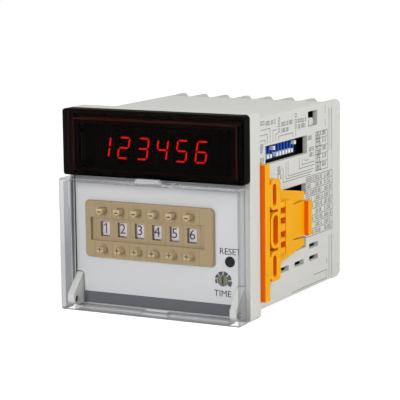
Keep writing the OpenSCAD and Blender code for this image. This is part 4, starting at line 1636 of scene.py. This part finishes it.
    def _sign(self, shape: BMesh, place: float, height: float, kind: int) -> None:
        """Add one made-up sign of two or three strokes, none of them a letter.

        Args:
            shape: The shape that gets it.
            place: Where the sign starts along the wall.
            height: Height of its middle.
            kind: Which sign.
        """
        width = self.sign_pitch * self.sign_share
        for stroke in self.signs[kind]:
            ends = [(place + x * width, height + y * self.sign_height) for x, y in stroke]
            self._stroke(shape, *ends)


def direction(azimuth_deg: float, elevation_deg: float) -> Vector:
    """Point from the counter to a place round it.

    Args:
        azimuth_deg: Angle from the front towards the right.
        elevation_deg: Angle above the floor.

    Returns:
        The unit vector.
    """
    a, e = math.radians(azimuth_deg), math.radians(elevation_deg)
    return Vector((math.sin(a) * math.cos(e), -math.cos(a) * math.cos(e), math.sin(e)))


@dataclass
class Camera:
    """Camera at the photograph's place."""

    azimuth_deg: float = 28.03
    elevation_deg: float = 8.99
    roll: float = math.radians(-0.66)
    place: tuple[float, float, float] = (302.5 * MM, -544.8 * MM, 101.9 * MM)
    lens_mm: float = 160.55
    sensor_mm: float = 36.0
    nearest: float = 10 * MM

    def build(self) -> None:
        """Make the camera and use it for the scene."""
        sight = direction(self.azimuth_deg, self.elevation_deg)
        level = (-sight).cross(Vector((0, 0, 1))).normalized()
        over = sight.cross(level)
        right = level * math.cos(self.roll) + over * math.sin(self.roll)
        up = over * math.cos(self.roll) - level * math.sin(self.roll)
        data = bpy.data.cameras.new("camera")
        data.lens = self.lens_mm
        data.sensor_width = self.sensor_mm
        data.clip_start = self.nearest
        camera = bpy.data.objects.new("camera", data)
        turn = Matrix((right, up, sight)).transposed().to_4x4()
        camera.matrix_world = Matrix.Translation(self.place) @ turn
        bpy.context.scene.collection.objects.link(camera)
        bpy.context.scene.camera = camera


@dataclass(frozen=True)
class Lamp:
    """Soft square studio lamp aimed at the counter's middle."""

    name: str
    azimuth_deg: float
    elevation_deg: float
    distance: float
    side: float
    watts: float

    def build(self, target: Vector) -> None:
        """Hang the lamp round a target point.

        Args:
            target: The point that it lights.
        """
        back = direction(self.azimuth_deg, self.elevation_deg)
        data = bpy.data.lights.new(self.name, "AREA")
        data.energy = self.watts
        data.size = self.side
        lamp = bpy.data.objects.new(self.name, data)
        lamp.visible_transmission = False
        lamp.location = target + back * self.distance
        lamp.rotation_mode = "QUATERNION"
        lamp.rotation_quaternion = (-back).to_track_quat("-Z", "Y")
        bpy.context.scene.collection.objects.link(lamp)


@dataclass
class Studio:
    """Pale floor, white surround and soft lamps."""

    floor_half: float = 30.0
    floor_gap: float = 0.02 * MM
    floor_tone: float = 0.85
    floor_shadow: float = 0.25
    floor_lift: float = 0.92
    floor_roughness: float = 0.9
    ambient: float = 0.33
    background_rays: tuple[str, ...] = ("Is Camera Ray", "Is Transmission Ray", "Is Glossy Ray")
    lamps: tuple[Lamp, ...] = (
        Lamp("side_lamp", 75, 35, 1.0, 0.4, 5.3),
        Lamp("front_lamp", -12, 18, 1.0, 0.3, 5.6),
        Lamp("edge_lamp", -71, 61, 1.0, 0.12, 0.9),
    )

    def build(self, low: Vector, high: Vector) -> None:
        """Set the stage under and round the counter.

        Args:
            low: Lowest corner of the counter.
            high: Highest corner of the counter.
        """
        self._floor(low.z - self.floor_gap)
        self._world()
        for lamp in self.lamps:
            lamp.build((low + high) / 2)

    def _floor(self, height: float) -> None:
        """Lay a pale floor that shows white to the camera and keeps the shadow.

        Args:
            height: The floor's height.
        """
        shape = bmesh.new()
        bmesh.ops.create_grid(shape, x_segments=1, y_segments=1, size=self.floor_half)
        bmesh.ops.translate(shape, verts=shape.verts, vec=(0, 0, height))
        shader = Shader("floor_paper")
        shader.set(Roughness=self.floor_roughness, Specular_IOR_Level=0.0, Emission_Color=WHITE)
        seen = self._seen_rays(shader)
        tones = ((self.floor_tone,) * 3, (self.floor_shadow,) * 3)
        shader.colour_by(shader.mix(seen, *tones))
        lift = shader.ramp(seen, 0.0, self.floor_lift)
        shader.join(lift, shader.principled.inputs["Emission Strength"])
        floor = as_object("floor", shape, shader.material)
        floor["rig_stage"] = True

    def _seen_rays(self, nodes: Nodes) -> Socket:
        """Find the rays that show the background straight, mirrored or through clear plastic.

        Args:
            nodes: The floor's or the world's node tree.

        Returns:
            A socket that is 1 for those rays and 0 for rays that light the counter.
        """
        path = nodes.add("ShaderNodeLightPath")
        seen = nodes.fold("MAXIMUM", *(path.outputs[kind] for kind in self.background_rays))
        straight = nodes.work_out("SUBTRACT", seen, path.outputs["Diffuse Depth"])
        straight.node.use_clamp = True
        return straight

    def _world(self) -> None:
        """Light the counter evenly from all round, with a white background."""
        world = bpy.data.worlds.new("surround")
        world.use_nodes = True
        bpy.context.scene.world = world
        nodes = Nodes(world.node_tree)
        output = nodes.add("ShaderNodeOutputWorld")
        light = nodes.add("ShaderNodeBackground", {"Color": WHITE})
        strength = nodes.ramp(self._seen_rays(nodes), self.ambient, 1.0)
        nodes.join(strength, light.inputs["Strength"])
        nodes.join(light.outputs[0], output.inputs["Surface"])


def main() -> None:
    """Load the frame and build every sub-assembly."""
    logging.basicConfig(level=logging.INFO, format="%(name)s: %(message)s")
    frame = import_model()
    cad_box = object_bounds()
    bpy.context.scene.view_settings.view_transform = "Standard"
    shop = Workshop()
    CadDressing(frame["nodes"], shop).dress()
    Display(shop).build()
    FasciaPrint(shop).build()
    ThumbwheelMarks(shop, frame["nodes"]).build()
    SideLabel(shop).build()
    Studio().build(*cad_box)
    Camera().build()


if __name__ == "__main__":
    main()
